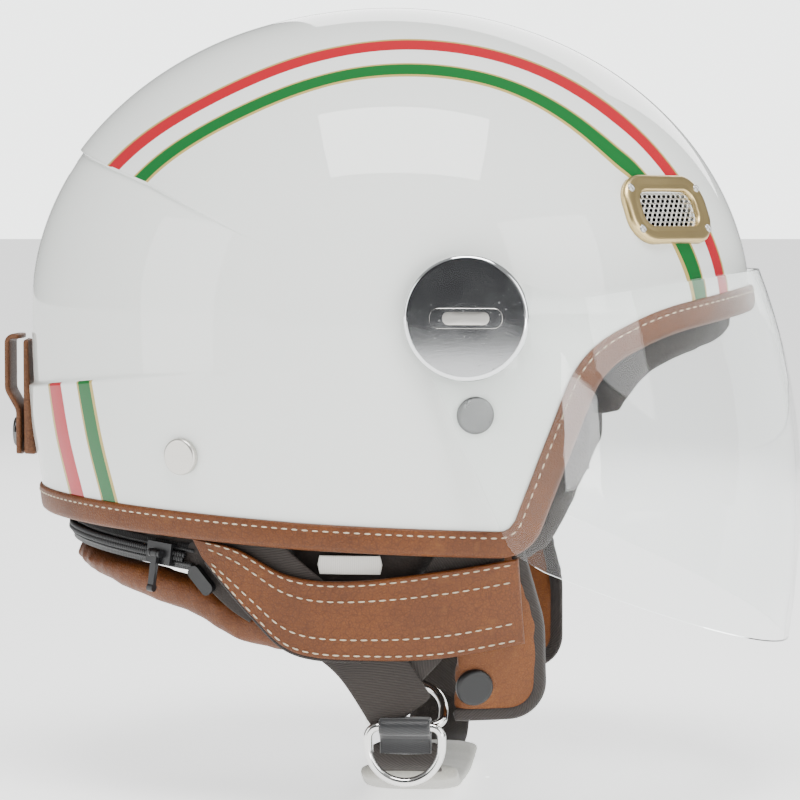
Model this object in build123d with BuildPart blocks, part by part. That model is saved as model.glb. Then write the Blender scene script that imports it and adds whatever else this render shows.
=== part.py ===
from build123d import *
from math import asin, cos, degrees, radians, sin, sqrt
import os

os.makedirs("parts", exist_ok=True)

# Open face helmet. +X is the front, +Y the rider's left, +Z up. The origin is where the
# visor's pivot axis crosses the plane of symmetry. Lengths are in millimetres.

# --- shell -------------------------------------------------------------------------------
shell_centre_x = -38.5
shell_length = 282.0
shell_width = 238.0
shell_height = 117.6
taper_radius = 533.0
form_floor = -160.0
shell_wall = 4.0
liner_wall = 28.0
lining_wall = 6.0
glue_gap = 0.2
crown_step = 2.0
crown_front_x = -60.0
low_band_step = 2.0
low_band_front_x = -80.0
reach = 320.0

# --- rim and edge trim -------------------------------------------------------------------
rim_corner_radius = 14.0
rim_ear_radius = 30.0
rim_brow_radius = 80.0
trim_above = 8.0
trim_below = 2.0
trim_leather = 1.8

# --- pads --------------------------------------------------------------------------------
pad_overhang = 9.0
cheek_depth = 14.0
cheek_rear_x = -72.0
cheek_front_x = 44.0
cheek_top_z = -12.0
skirt_floor_z = -104.0

# --- straps and rivets -------------------------------------------------------------------
webbing_width = 25.0
webbing = 1.4
strap_inset = 6.2
rivet_radius = 2.4
rivet_cap_radius = 6.8
rivet_cap_height = 2.0
rivet_seat = 0.4
front_strap_inset = 7.8
front_rivet = (2.5, -35.3)
rear_rivet = (-105.7, -51.5)
strap_meeting = (-24.5, -148.2)

# --- visor -------------------------------------------------------------------------------
visor_wall = 1.8
visor_half_width = 120.6
visor_reach = 122.5
visor_belly_z = -72.0
visor_upper_radius = 240.0
visor_lower_radius = 367.0
visor_ear_radius = 19.5
visor_flat_x = 20.0
pivot_boss_radius = 8.0
pivot_clearance = 0.05
pivot_side_gap = 0.2
pivot_screw_radius = 2.5
cap_radius = 22.7
cap_height = 4.4
cap_wall = 1.2

# --- brow vents --------------------------------------------------------------------------
vent_x = 71.2
vent_z = 39.1
vent_length = 46.0
vent_height = 27.0
vent_window = (31.0, 14.0)
vent_proud = 2.8
mesh_plate = 1.0
vent_screw_radius = 1.5

# --- ear flaps and neck roll -------------------------------------------------------------
band_inset = 3.4
band_leather = 2.5
flap_inset = 9.6
flap_padding = 6.4
binding_width = 5.5
snap_radius = 7.0
snap_height = 3.0
snap_dome = 1.6
snap_place = (0.5, -137.0)
roll_inset = 8.2
roll_depth = 16.0

# --- zip ---------------------------------------------------------------------------------
zip_radius = 95.7
zip_axis_x = -68.7
zip_axis_z = -94.6
zip_tilt = 6.7
zip_half_angle = 66.0
chain_height = 4.8
chain_depth = 2.3
tape_height = 9.6
tape_thickness = 1.0
slider_length = 11.0
slider_angle = 60.0
slider_gap = 0.35
slider_wall = 1.3

# --- D-rings -----------------------------------------------------------------------------
ring_wire = 3.3
ring_inside = 24.0
ring_depth = 20.5
ring_pitch = 4.6
ring_centre_x = -24.5
ring_bar_z = -151.5
ring_bar_y = -95.6
keeper_wall = 1.5
keeper_width = 19.0
upper_ring_lean = 47.0

# --- rear strap loop ---------------------------------------------------------------------
loop_width = 18.0
loop_leather = 2.2
loop_top_z = -12.0
loop_bottom_z = -58.0


def inset_form(inset, shift=0.0):
    """Solid helmet form lying this far inside the outer surface, moved back by shift."""
    half = shell_length / 2 - inset
    middle = shell_centre_x - shift
    section = Plane(origin=(middle, 0, 0), x_dir=(1, 0, 0), z_dir=(0, -1, 0))
    sweep_angle = degrees(asin(-form_floor / taper_radius))
    with BuildPart() as form:
        with BuildSketch(section):
            with BuildLine():
                crown = EllipticalCenterArc((0, 0), half, shell_height - inset, start_angle=0, arc_size=90)
                wall = CenterArc((half - taper_radius, 0), taper_radius, 0, -sweep_angle)
                Polyline(wall @ 1, (0, form_floor), crown @ 1)
            make_face()
        revolve(axis=Axis((middle, 0, 0), (0, 0, 1)))
        scale(by=(1, (shell_width / 2 - inset) / half, 1))
    return form.part


def layer(outside, inside):
    """Hollow form between two insets."""
    with BuildPart() as hollow:
        add(inset_form(outside))
        add(inset_form(inside), mode=Mode.SUBTRACT)
    return hollow.part


def above_rim(rise):
    """Everything above the rim line, in side view, once that line is moved up by rise."""
    with BuildPart() as region:
        with BuildSketch(Plane.XZ):
            with BuildLine():
                rim = FilletPolyline(
                    (-reach, -67.0), (-60, -83.0), (20.5, -86.5), (46.5, -18.0), (70, -5.5), (reach, 50.0),
                    radius=(200.0, rim_corner_radius, rim_ear_radius, rim_brow_radius),
                )
                Polyline(rim @ 1, (reach, reach), (-reach, reach), rim @ 0)
            make_face()
            if rise:
                offset(amount=-rise, kind=Kind.INTERSECTION)
        extrude(amount=reach, both=True)
    return region.part


def side_prism(*points, both=False):
    """Prism whose side view is this outline, on the right hand side or through both sides."""
    with BuildPart() as prism:
        with BuildSketch(Plane.XZ):
            with BuildLine():
                Polyline(*points, close=True)
            make_face()
        extrude(amount=reach, both=both)
    return prism.part


def strip(*points, width=webbing_width, grow=0.0):
    """Side prism that follows a route of straight runs at one width, square at its ends."""
    with BuildPart() as corridor:
        with BuildSketch(Plane.XZ):
            with BuildLine() as route:
                Polyline(*points)
            trace(route.line, line_width=width + 2 * grow)
        extrude(amount=reach)
    return corridor.part


def on_form(x, z, inset=0.0):
    """Plane on the right hand side of the form: origin on the surface, normal outwards."""
    half, half_width = shell_length / 2 - inset, shell_width / 2 - inset
    height = shell_height - inset
    along = x - shell_centre_x
    if z >= 0:
        y = -half_width * sqrt(1 - (along / half) ** 2 - (z / height) ** 2)
        normal = Vector(along / half**2, y / half_width**2, z / height**2)
    else:
        drop = taper_radius - sqrt(taper_radius**2 - z**2)
        share = (half - drop) / half
        y = -half_width * sqrt(share**2 - (along / half) ** 2)
        slope = z / sqrt(taper_radius**2 - z**2)
        normal = Vector(along / half**2, y / half_width**2, share * slope / half)
    normal = normal.normalized()
    level = Vector(0, 0, 1).cross(normal).normalized()
    return Plane(origin=(x, y, z), x_dir=level, z_dir=normal)


def across(plane):
    """The same plane mirrored to the left hand side."""
    flip = Vector(1, -1, 1)
    origin, level, normal = (
        Vector(v.X * flip.X, v.Y * flip.Y, v.Z * flip.Z) for v in (plane.origin, plane.x_dir, plane.z_dir)
    )
    return Plane(origin=origin, x_dir=level, z_dir=normal)


# --- common cutting forms ----------------------------------------------------------------
rim_region = above_rim(0)
with BuildPart() as trim_band:
    add(above_rim(-trim_below))
    add(above_rim(trim_above), mode=Mode.SUBTRACT)
liner_region = above_rim(trim_above + 1.0)
with BuildPart() as pad_band:
    add(above_rim(-pad_overhang))
    add(above_rim(trim_above), mode=Mode.SUBTRACT)
rear_leg_route = [rear_rivet, (-84.0, -85.0), (-40.0, -124.0), strap_meeting]
front_leg_route = [front_rivet, (1.0, -88.0), (-30.0, -128.0)]
strap_end = 9.0


def started_early(route, length):
    """The same route, begun this much further back in line with its first run."""
    run = Vector(*route[0]) - Vector(*route[1])
    start = Vector(*route[0]) + run.normalized() * length
    return [(start.X, start.Y), *route[1:]]


vent_plane = on_form(vent_x, vent_z)
vent_planes = (vent_plane, across(vent_plane))
vent_screw_places = [(sx * vent_length * 0.41, sy * vent_height * 0.30) for sx in (-1, 1) for sy in (-1, 1)]


def flap_prism(grow=0.0):
    """Side view of the ear flap: a rounded lower front corner and a straight rear edge."""
    with BuildPart() as prism:
        with BuildSketch(Plane.XZ):
            with BuildLine():
                edge = FilletPolyline((17.0, -82.0), (25.7, -114.0), (26.2, -150.0), (-7.5, -150.0),
                                      radius=(40.0, 13.0))
                Polyline(edge @ 1, (-7.5, -82.0), edge @ 0)
            make_face()
            if grow:
                offset(amount=grow, kind=Kind.INTERSECTION)
        extrude(amount=reach)
    return prism.part


# --- outer shell -------------------------------------------------------------------------
crown_region = side_prism(
    (-175, 68.5), (-154, 60.8), (-120, 48.2), (-80, 28.8), (crown_front_x, 18.5),
    (crown_front_x, 130), (-175, 130), both=True,
)
low_band_region = side_prism(
    (-195, -31.5), (-159, -26.6), (-123, -22.6), (low_band_front_x, -19.6),
    (low_band_front_x, -90), (-195, -90), both=True,
)
rear_slot_z = 55.0
rear_slot = (44.0, 5.0)
with BuildPart() as crown_cap:
    add(inset_form(0, shift=crown_step))
    add(crown_region, mode=Mode.INTERSECT)
with BuildPart() as low_band:
    add(inset_form(0, shift=low_band_step))
    add(low_band_region, mode=Mode.INTERSECT)
    add(above_rim(trim_above + glue_gap), mode=Mode.INTERSECT)

with BuildPart() as outer_shell:
    add(inset_form(0))
    add(crown_cap.part)
    add(low_band.part)
    add(inset_form(shell_wall), mode=Mode.SUBTRACT)
    add(rim_region, mode=Mode.INTERSECT)
    with BuildSketch(Plane.YZ.offset(shell_centre_x)):
        with Locations((0, rear_slot_z)):
            SlotOverall(*rear_slot)
    extrude(amount=-reach, mode=Mode.SUBTRACT)
    for plane in vent_planes:
        with BuildSketch(plane):
            RectangleRounded(vent_window[0] + 3, vent_window[1] + 3, 5)
            with Locations(vent_screw_places):
                Circle(vent_screw_radius / 2)
        extrude(amount=15, both=True, mode=Mode.SUBTRACT)
    with BuildSketch(Plane.XZ):
        Circle(pivot_screw_radius)
    extrude(amount=reach, both=True, mode=Mode.SUBTRACT)
    for place in (front_rivet, rear_rivet):
        for plane in (on_form(*place), across(on_form(*place))):
            with BuildSketch(plane):
                Circle(rivet_radius)
            extrude(amount=12, both=True, mode=Mode.SUBTRACT)

# --- rear vent grille: a slotted bar that closes the slot under the crown step ------------
grille_bar = 1.6
with BuildPart() as rear_vent_grille:
    add(layer(shell_wall + glue_gap, shell_wall + glue_gap + grille_bar))
    with BuildSketch(Plane.YZ.offset(shell_centre_x)):
        with Locations((0, rear_slot_z)):
            SlotOverall(rear_slot[0] + 6, rear_slot[1] + 5)
            with GridLocations(5.0, 1, 8, 1):
                SlotOverall(rear_slot[1] - 1, 2.6, rotation=90, mode=Mode.SUBTRACT)
    extrude(amount=-reach, mode=Mode.INTERSECT)

# --- impact liner with pockets for the straps, vent channels and the grille ---------------
liner_outside = shell_wall + glue_gap
with BuildPart() as strap_pockets:
    for route in (rear_leg_route, front_leg_route):
        add(strip(*started_early(route, strap_end + 3), grow=1.5))
    mirror(about=Plane.XZ)
    add(layer(shell_wall - 1, 11.4), mode=Mode.INTERSECT)
with BuildPart() as impact_liner:
    add(layer(liner_outside, liner_outside + liner_wall))
    add(liner_region, mode=Mode.INTERSECT)
    add(strap_pockets.part, mode=Mode.SUBTRACT)
    with BuildSketch(Plane.YZ.offset(shell_centre_x - 90)):
        with Locations((0, rear_slot_z)):
            SlotOverall(rear_slot[0] + 7, rear_slot[1] + 6)
    extrude(amount=-reach, mode=Mode.SUBTRACT)
    for plane in vent_planes:
        with BuildSketch(plane):
            RectangleRounded(vent_window[0] + 3, vent_window[1] + 3, 5)
        extrude(amount=60, both=True, mode=Mode.SUBTRACT)
    with BuildSketch(Plane.XZ):
        Circle(pivot_screw_radius + 3)
    extrude(amount=reach, both=True, mode=Mode.SUBTRACT)

# --- comfort lining ----------------------------------------------------------------------
lining_outside = liner_outside + liner_wall + glue_gap
with BuildPart() as lining_region:
    add(side_prism((-reach, cheek_top_z + 1), (reach, cheek_top_z + 1), (reach, reach), (-reach, reach),
                   both=True))
    add(side_prism((-reach, -90), (cheek_rear_x - 1, -90), (cheek_rear_x - 1, 0), (-reach, 0), both=True))
    add(liner_region, mode=Mode.INTERSECT)
with BuildPart() as crown_lining:
    add(layer(lining_outside, lining_outside + lining_wall))
    add(lining_region.part, mode=Mode.INTERSECT)

# --- brow pad ----------------------------------------------------------------------------
pad_outside = trim_leather + shell_wall + 0.8
brow_rear_x = cheek_front_x + 1
with BuildPart() as brow_pad:
    add(layer(pad_outside, lining_outside + lining_wall))
    add(pad_band.part, mode=Mode.INTERSECT)
    add(side_prism((brow_rear_x, -90), (reach, -90), (reach, 60), (brow_rear_x, 60), both=True),
        mode=Mode.INTERSECT)

# --- cheek pads --------------------------------------------------------------------------
cheek_inside = lining_outside + cheek_depth
with BuildPart() as cheek_upper:
    add(layer(lining_outside, cheek_inside))
    add(side_prism((cheek_rear_x, -78), (cheek_front_x, -78), (cheek_front_x, cheek_top_z),
                   (cheek_rear_x, cheek_top_z)), mode=Mode.INTERSECT)
    add(above_rim(trim_above - 0.5), mode=Mode.INTERSECT)
with BuildPart() as cheek_edge:
    add(layer(flap_inset, cheek_inside))
    add(side_prism((cheek_rear_x, -110), (cheek_front_x, -110), (cheek_front_x, 20), (cheek_rear_x, 20)),
        mode=Mode.INTERSECT)
    add(pad_band.part, mode=Mode.INTERSECT)
with BuildPart() as cheek_skirt:
    add(layer(flap_inset + 2, flap_inset + 10))
    add(side_prism((cheek_rear_x, skirt_floor_z), (-9, skirt_floor_z), (-9, -82), (cheek_rear_x, -80)),
        mode=Mode.INTERSECT)
with BuildPart() as flap_room:
    add(layer(flap_inset - 1, flap_inset + flap_padding + 0.9))
    add(flap_prism(1.2), mode=Mode.INTERSECT)
with BuildPart() as cheek_pad_right:
    add(cheek_upper.part)
    add(cheek_edge.part)
    add(cheek_skirt.part)
    add(flap_room.part, mode=Mode.SUBTRACT)

# --- edge trim: folded leather round the rim -----------------------------------------------
with BuildPart() as rim_wall:
    add(layer(0, shell_wall))
    add(rim_region, mode=Mode.INTERSECT)
with BuildPart() as edge_trim:
    add(layer(-trim_leather, shell_wall + trim_leather))
    add(trim_band.part, mode=Mode.INTERSECT)
    add(rim_wall.part, mode=Mode.SUBTRACT)

# --- brow vents --------------------------------------------------------------------------
with BuildPart() as vent_frame_right:
    add(layer(-vent_proud, 0))
    with BuildSketch(vent_plane):
        RectangleRounded(vent_length, vent_height, 11)
        RectangleRounded(*vent_window, 5, mode=Mode.SUBTRACT)
        with Locations(vent_screw_places):
            Circle(vent_screw_radius / 2, mode=Mode.SUBTRACT)
    extrude(amount=14, both=True, mode=Mode.INTERSECT)
with BuildPart() as vent_mesh_right:
    with BuildSketch(vent_plane.offset(-2.4)):
        RectangleRounded(vent_window[0] + 2.4, vent_window[1] + 2.4, 4.5)
        with HexLocations(2.6, 6, 5):
            Ellipse(1.7, 0.9, mode=Mode.SUBTRACT)
    extrude(amount=mesh_plate)
with BuildPart() as vent_screws_right:
    with BuildSketch(vent_plane.offset(-5)):
        with Locations(vent_screw_places):
            Circle(vent_screw_radius / 2)
    extrude(amount=9)
    with BuildSketch(vent_plane.offset(-3)):
        with Locations(vent_screw_places):
            Circle(vent_screw_radius)
    extrude(amount=6.6)
    add(inset_form(-vent_proud), mode=Mode.SUBTRACT)

# --- visor: side walls that run straight back from a curved front --------------------------
def visor_reach_at(z):
    """How far forward the outside of the visor lies at this height."""
    radius = visor_upper_radius if z > visor_belly_z else visor_lower_radius
    return visor_reach - radius + sqrt(radius**2 - (z - visor_belly_z) ** 2)


visor_heights = (26.0, -12.0, -48.0, -84.0, -140.0)
visor_back_x = -visor_ear_radius - 1
with BuildPart() as visor_outline:
    with BuildSketch(Plane.XZ):
        with BuildLine():
            FilletPolyline(
                (-14.5, -16.5), (16.0, -84.5), (28.0, -91.5), (135, -134.0), (135, 17.5), (98, 15.5),
                (40, 7.0), (21.0, 12.0), radius=(12.0, 14.0, 1.0, 1.0, 60.0, 12.0),
            )
            Line((21.0, 12.0), (-14.5, -16.5))
        make_face()
        Circle(visor_ear_radius)
        Circle(pivot_boss_radius + pivot_clearance, mode=Mode.SUBTRACT)
    extrude(amount=reach, both=True)
with BuildPart() as visor:
    for height in visor_heights:
        front = visor_reach_at(height)
        with BuildSketch(Plane.XY.offset(height)):
            with BuildLine():
                outer = EllipticalCenterArc(
                    (visor_flat_x, 0), front - visor_flat_x, visor_half_width, start_angle=-90, arc_size=180
                )
                inner = EllipticalCenterArc(
                    (visor_flat_x, 0), front - visor_wall - visor_flat_x, visor_half_width - visor_wall,
                    start_angle=-90, arc_size=180,
                )
                for outer_end, inner_end in ((outer @ 0, inner @ 0), (outer @ 1, inner @ 1)):
                    Polyline(outer_end, (visor_back_x, outer_end.Y), (visor_back_x, inner_end.Y), inner_end)
            make_face()
    loft()
    add(visor_outline.part, mode=Mode.INTERSECT)

# --- visor pivots: base, screw, spring washer and domed cap --------------------------------
base_top = visor_half_width - visor_wall - pivot_side_gap
boss_top = visor_half_width + pivot_side_gap
cap_foot = visor_half_width + pivot_side_gap
with BuildPart() as visor_base_right:
    with BuildSketch(Plane.XZ.offset(base_top)):
        Circle(visor_ear_radius - 1.5)
    extrude(amount=-16)
    with BuildSketch(Plane.XZ.offset(boss_top)):
        Circle(pivot_boss_radius)
    extrude(amount=-6)
    add(inset_form(0), mode=Mode.SUBTRACT)
    with BuildSketch(Plane.XZ):
        Circle(pivot_screw_radius)
    extrude(amount=reach, mode=Mode.SUBTRACT)
with BuildPart() as pivot_washer_right:
    with BuildSketch(Plane.XZ.offset(boss_top)):
        Circle(pivot_boss_radius + 2.5)
        Circle(pivot_screw_radius, mode=Mode.SUBTRACT)
    extrude(amount=0.8)
with BuildPart() as pivot_screw_right:
    with BuildSketch(Plane.XZ.offset(boss_top + 0.8)):
        Circle(pivot_screw_radius)
    extrude(amount=-18)
    with BuildSketch(Plane.XZ.offset(boss_top + 0.8)):
        Circle(pivot_screw_radius + 2.2)
    extrude(amount=1.4)
    with BuildSketch(Plane.XZ.offset(boss_top + 2.2)):
        SlotOverall(6.0, 1.2)
    extrude(amount=-0.8, mode=Mode.SUBTRACT)
with BuildPart() as pivot_nut_right:
    with BuildSketch(Plane.XZ.offset(boss_top + 0.8 - 17.5)):
        RegularPolygon(4.6, 6)
        Circle(pivot_screw_radius, mode=Mode.SUBTRACT)
    extrude(amount=4)
with BuildPart() as pivot_cap_right:
    with BuildSketch(Plane.XZ.offset(cap_foot)):
        Circle(cap_radius)
    extrude(amount=cap_height)
    fillet(pivot_cap_right.faces().sort_by(Axis.Y)[0].edges(), 1.6)
    with BuildSketch(Plane.XZ.offset(cap_foot)):
        Circle(cap_radius - cap_wall)
    extrude(amount=cap_height - cap_wall, mode=Mode.SUBTRACT)
    with BuildSketch(Plane.XZ.offset(cap_foot + cap_height)):
        RectangleRounded(26, 7, 3)
    extrude(amount=1.0)

# --- straps ------------------------------------------------------------------------------
with BuildPart() as strap_rear_right:
    add(layer(strap_inset, strap_inset + webbing))
    add(strip(*started_early(rear_leg_route, strap_end)), mode=Mode.INTERSECT)
    add(side_prism((-reach, strap_meeting[1]), (reach, strap_meeting[1]), (reach, 0), (-reach, 0)),
        mode=Mode.INTERSECT)
with BuildPart() as strap_front_right:
    add(layer(front_strap_inset, front_strap_inset + webbing))
    add(strip(*started_early(front_leg_route, strap_end)), mode=Mode.INTERSECT)
strap_insets = {"front": front_strap_inset, "rear": strap_inset}
rivet_places = {"front": front_rivet, "rear": rear_rivet}
shell_steps = {"front": 0.0, "rear": low_band_step / 2}
rivets, rivet_caps, anchor_plates = {}, {}, {}
for place, inset in strap_insets.items():
    plane = on_form(*rivet_places[place])
    strap_back = inset + webbing
    with BuildPart() as rivet:
        with BuildSketch(plane.offset(-rivet_seat)):
            Circle(rivet_radius)
        extrude(amount=rivet_seat - strap_back - 1.4)
        with BuildSketch(plane.offset(-strap_back - 1.4)):
            Circle(rivet_radius + 2)
        extrude(amount=1.0)
    with BuildPart() as rivet_cap:
        with BuildSketch(plane.offset(-0.5)):
            Circle(rivet_cap_radius)
        extrude(amount=rivet_cap_height + 0.5 + shell_steps[place])
        fillet(rivet_cap.faces().sort_by(Axis.Y)[0].edges(), 0.9)
        add(inset_form(0), mode=Mode.SUBTRACT)
        if shell_steps[place]:
            add(inset_form(0, shift=low_band_step), mode=Mode.SUBTRACT)
    with BuildPart() as anchor_plate:
        add(layer(shell_wall + 0.1, inset - 0.1))
        with BuildSketch(plane):
            RectangleRounded(18, 14, 3)
            Circle(rivet_radius, mode=Mode.SUBTRACT)
        extrude(amount=20, both=True, mode=Mode.INTERSECT)
    rivets[place], rivet_caps[place], anchor_plates[place] = rivet, rivet_cap, anchor_plate
with BuildPart() as strap_holes:
    for place in rivet_places.values():
        with BuildSketch(on_form(*place)):
            Circle(rivet_radius)
        extrude(amount=20, both=True)
for leg in (strap_rear_right, strap_front_right):
    with leg:
        add(strap_holes.part, mode=Mode.SUBTRACT)

# --- ear flaps ---------------------------------------------------------------------------
with BuildPart() as ear_flap_right:
    add(layer(flap_inset, flap_inset + flap_padding))
    add(flap_prism(), mode=Mode.INTERSECT)
with BuildPart() as flap_binding_right:
    add(layer(flap_inset - 0.3, flap_inset + flap_padding + 0.6))
    add(flap_prism(0.6), mode=Mode.INTERSECT)
    add(flap_prism(0.6 - binding_width), mode=Mode.SUBTRACT)
    add(side_prism((-20, -84.0), (60, -84.0), (60, -60), (-20, -60)), mode=Mode.SUBTRACT)
    add(side_prism((-20, -60), (-7.5, -60), (-7.5, -160), (-20, -160)), mode=Mode.SUBTRACT)
    add(side_prism((-8, -60), (6, -60), (6, -144.5), (-8, -144.5)), mode=Mode.SUBTRACT)
    add(ear_flap_right.part, mode=Mode.SUBTRACT)
with BuildPart() as flap_band_right:
    add(layer(band_inset, band_inset + band_leather))
    with BuildSketch(Plane.XZ):
        with BuildLine():
            upper = Spline((17.5, -88.6), (-8.6, -92.6), (-44, -96.6), (-66.6, -94.8), (-86, -85.6),
                           (-103.5, -82.4))
            lower = Spline((-99.8, -89.2), (-81, -110.4), (-64.5, -124), (-35, -126.4), (-9, -125.4),
                           (19.5, -120.7))
            Line(upper @ 1, lower @ 0)
            Line(lower @ 1, upper @ 0)
        make_face()
    extrude(amount=reach, mode=Mode.INTERSECT)
    add(above_rim(-trim_below - 0.3), mode=Mode.SUBTRACT)
with BuildPart() as flap_snap_right:
    with BuildSketch(on_form(*snap_place, inset=flap_inset).offset(-0.6)):
        Circle(snap_radius)
    extrude(amount=snap_height + 0.6)
    fillet(flap_snap_right.faces().sort_by(Axis.Y)[0].edges(), snap_dome)
    add(inset_form(flap_inset), mode=Mode.SUBTRACT)
with BuildPart() as size_label_right:
    add(layer(flap_inset - 1.2, flap_inset - 0.2))
    add(side_prism((-56, -94.5), (-32, -94.5), (-32, -87.5), (-56, -87.5)), mode=Mode.INTERSECT)

# --- neck roll, gusset and zip -------------------------------------------------------------
with BuildPart() as neck_roll:
    add(layer(roll_inset, roll_inset + roll_depth))
    add(side_prism(
        (-190, -86.5), (-164, -89.4), (-122, -94.3), (-103, -97.5), (-85, -108), (-58, -112),
        (-58, -126.5), (-72, -125.3), (-86, -123), (-94, -119), (-102, -114), (-127, -107.5),
        (-146, -101.7), (-166, -98.5), (-190, -97), both=True,
    ), mode=Mode.INTERSECT)
tilt = radians(zip_tilt)
zip_plane = Plane(
    origin=(zip_axis_x, 0, zip_axis_z), x_dir=(-cos(tilt), 0, sin(tilt)), z_dir=(sin(tilt), 0, cos(tilt))
)


def zip_sector(inside, outside, low, high, start, end):
    """Part of a ring round the zip's axis, between two radii, two heights and two angles."""
    with BuildPart() as sector:
        with BuildSketch(zip_plane.offset(low)):
            with BuildLine():
                far = CenterArc((0, 0), outside, start, end - start)
                near = CenterArc((0, 0), inside, start, end - start)
                Line(far @ 0, near @ 0)
                Line(far @ 1, near @ 1)
            make_face()
        extrude(amount=high - low)
    return sector.part


tape_back = zip_radius - chain_depth / 2 - tape_thickness
chain_back = zip_radius - chain_depth / 2
chain_front = zip_radius + chain_depth / 2
channel_half = chain_height / 2 + slider_gap
slider_half_angle = degrees(slider_length / 2 / zip_radius)
with BuildPart() as zip_tape:
    add(zip_sector(tape_back, chain_back, -tape_height / 2, tape_height / 2, -zip_half_angle - 2,
                   zip_half_angle + 2))
with BuildPart() as zip_chain:
    add(zip_sector(chain_back, chain_front, -chain_height / 2, chain_height / 2, -zip_half_angle,
                   zip_half_angle))
with BuildPart() as neck_gusset:
    add(zip_sector(tape_back - 1.8, tape_back - 0.2, -tape_height / 2 + 1, 12.5, -70, 70))
    add(liner_region, mode=Mode.SUBTRACT)
slider_front = chain_front + slider_gap + slider_wall
pin_radius = 0.8
lug_radius = 1.5
puller_width = 3.0
puller_length = 13.0
turn = radians(slider_angle)
outward = zip_plane.x_dir * cos(turn) + zip_plane.y_dir * sin(turn)
along_zip = zip_plane.y_dir * cos(turn) - zip_plane.x_dir * sin(turn)
puller_pivot = zip_plane.origin + outward * (slider_front + lug_radius + 0.2)
puller_plane = Plane(origin=puller_pivot, x_dir=outward, z_dir=-along_zip)
with BuildPart() as zip_slider:
    add(zip_sector(chain_back + 0.25, slider_front, -channel_half - slider_wall, channel_half + slider_wall,
                   slider_angle - slider_half_angle, slider_angle + slider_half_angle))
    add(zip_sector(chain_back, slider_front - slider_wall, -channel_half, channel_half,
                   slider_angle - slider_half_angle - 1, slider_angle + slider_half_angle + 1),
        mode=Mode.SUBTRACT)
    for side in (-1, 1):
        with BuildSketch(puller_plane.offset(side * (puller_width / 2 + 0.6))):
            Circle(lug_radius)
            with Locations((-lug_radius, 0)):
                Rectangle(2 * lug_radius + 0.6, 2 * lug_radius)
        extrude(amount=0.5, both=True)
    with BuildSketch(puller_plane):
        Circle(pin_radius)
    extrude(amount=puller_width / 2 + 0.8, both=True)
with BuildPart() as zip_puller:
    with BuildSketch(puller_plane):
        Circle(lug_radius)
        with Locations((0, -puller_length / 2)):
            Rectangle(1.8, puller_length)
        with Locations((0, -puller_length)):
            Circle(lug_radius)
        Circle(pin_radius + pivot_clearance, mode=Mode.SUBTRACT)
    extrude(amount=puller_width / 2 - 0.2, both=True)
stop_plane = on_form(-101.0, -98.5, inset=5.2)
with BuildPart() as zip_stop_right:
    with BuildSketch(stop_plane):
        with Locations(Rotation(0, 0, -50)):
            RectangleRounded(12.0, 5.5, 2.0)
    extrude(amount=-2.6)

# --- buckle: keeper with two D-rings -------------------------------------------------------
ring_half = (ring_inside + ring_wire) / 2
ring_corner = 4.0
bar_outer = Vector(ring_centre_x, ring_bar_y, ring_bar_z)
bar_inner = Vector(ring_centre_x, ring_bar_y + ring_pitch, ring_bar_z)
lean = radians(upper_ring_lean)
ring_planes = {
    "lower": Plane(origin=bar_outer, x_dir=(1, 0, 0), z_dir=(0, -1, 0)),
    "upper": Plane(origin=bar_inner, x_dir=(1, 0, 0), z_dir=(0, cos(lean), -sin(lean))),
}
d_rings = {}
for place, plane in ring_planes.items():
    with BuildPart() as d_ring:
        with BuildLine(plane):
            bar = Line((0, 0), (ring_half - ring_corner, 0))
            shoulder = CenterArc((ring_half - ring_corner, -ring_corner), ring_corner, 90, -90)
            Line(shoulder @ 1, (ring_half, ring_half - ring_depth))
            CenterArc((0, ring_half - ring_depth), ring_half, 0, -90)
        with BuildSketch(Plane(origin=bar @ 0, z_dir=bar % 0)):
            Circle(ring_wire / 2)
        sweep()
        mirror(about=Plane.YZ.offset(ring_centre_x))
    d_rings[place] = d_ring
keeper_radius = ring_wire / 2 + keeper_wall
buckle_plane = Plane(origin=(ring_centre_x, ring_bar_y, ring_bar_z), x_dir=(0, 1, 0), z_dir=(1, 0, 0))
with BuildPart() as ring_keeper:
    with BuildSketch(buckle_plane):
        with Locations((ring_pitch / 2, 0)):
            SlotCenterToCenter(ring_pitch, 2 * keeper_radius)
        with Locations((ring_pitch + 0.2, -5.5)):
            Rectangle(3.6, 11.0)
        with Locations((0, 0), (ring_pitch, 0)):
            Circle(ring_wire / 2 + pivot_clearance, mode=Mode.SUBTRACT)
    extrude(amount=keeper_width / 2, both=True)

# --- chin strap across to the left side, in a padded sleeve ---------------------------------
left_meeting_y = -on_form(*strap_meeting, inset=strap_inset + webbing / 2).origin.Y
chin_route = [
    (ring_bar_y + ring_pitch + 2.8, ring_bar_z - 6.0), (-86.0, -167.0), (-62.0, -177.0), (0.0, -181.0),
    (62.0, -177.0), (86.0, -166.0), (left_meeting_y, strap_meeting[1] - 0.3),
]
chin_radii = (9.0, 30.0, 300.0, 30.0, 9.0)
sleeve_width = 37.0
sleeve_depth = 7.0
chin_plane = Plane(origin=(ring_centre_x, 0, 0), x_dir=(0, 1, 0), z_dir=(1, 0, 0))
with BuildPart() as chin_strap:
    with BuildSketch(chin_plane):
        with BuildLine() as chin_line:
            FilletPolyline(*chin_route, radius=chin_radii)
        trace(chin_line.line, line_width=webbing)
    extrude(amount=webbing_width / 2, both=True)
sleeve_route = [(-80.0, -169.5), *chin_route[2:4], (40.0, -178.42)]
with BuildPart() as chin_sleeve:
    with BuildSketch(chin_plane):
        with BuildLine() as sleeve_line:
            FilletPolyline(*sleeve_route, radius=chin_radii[1:3])
        trace(sleeve_line.line, line_width=sleeve_depth)
    extrude(amount=sleeve_width / 2, both=True)
    add(chin_strap.part, mode=Mode.SUBTRACT)

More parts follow.
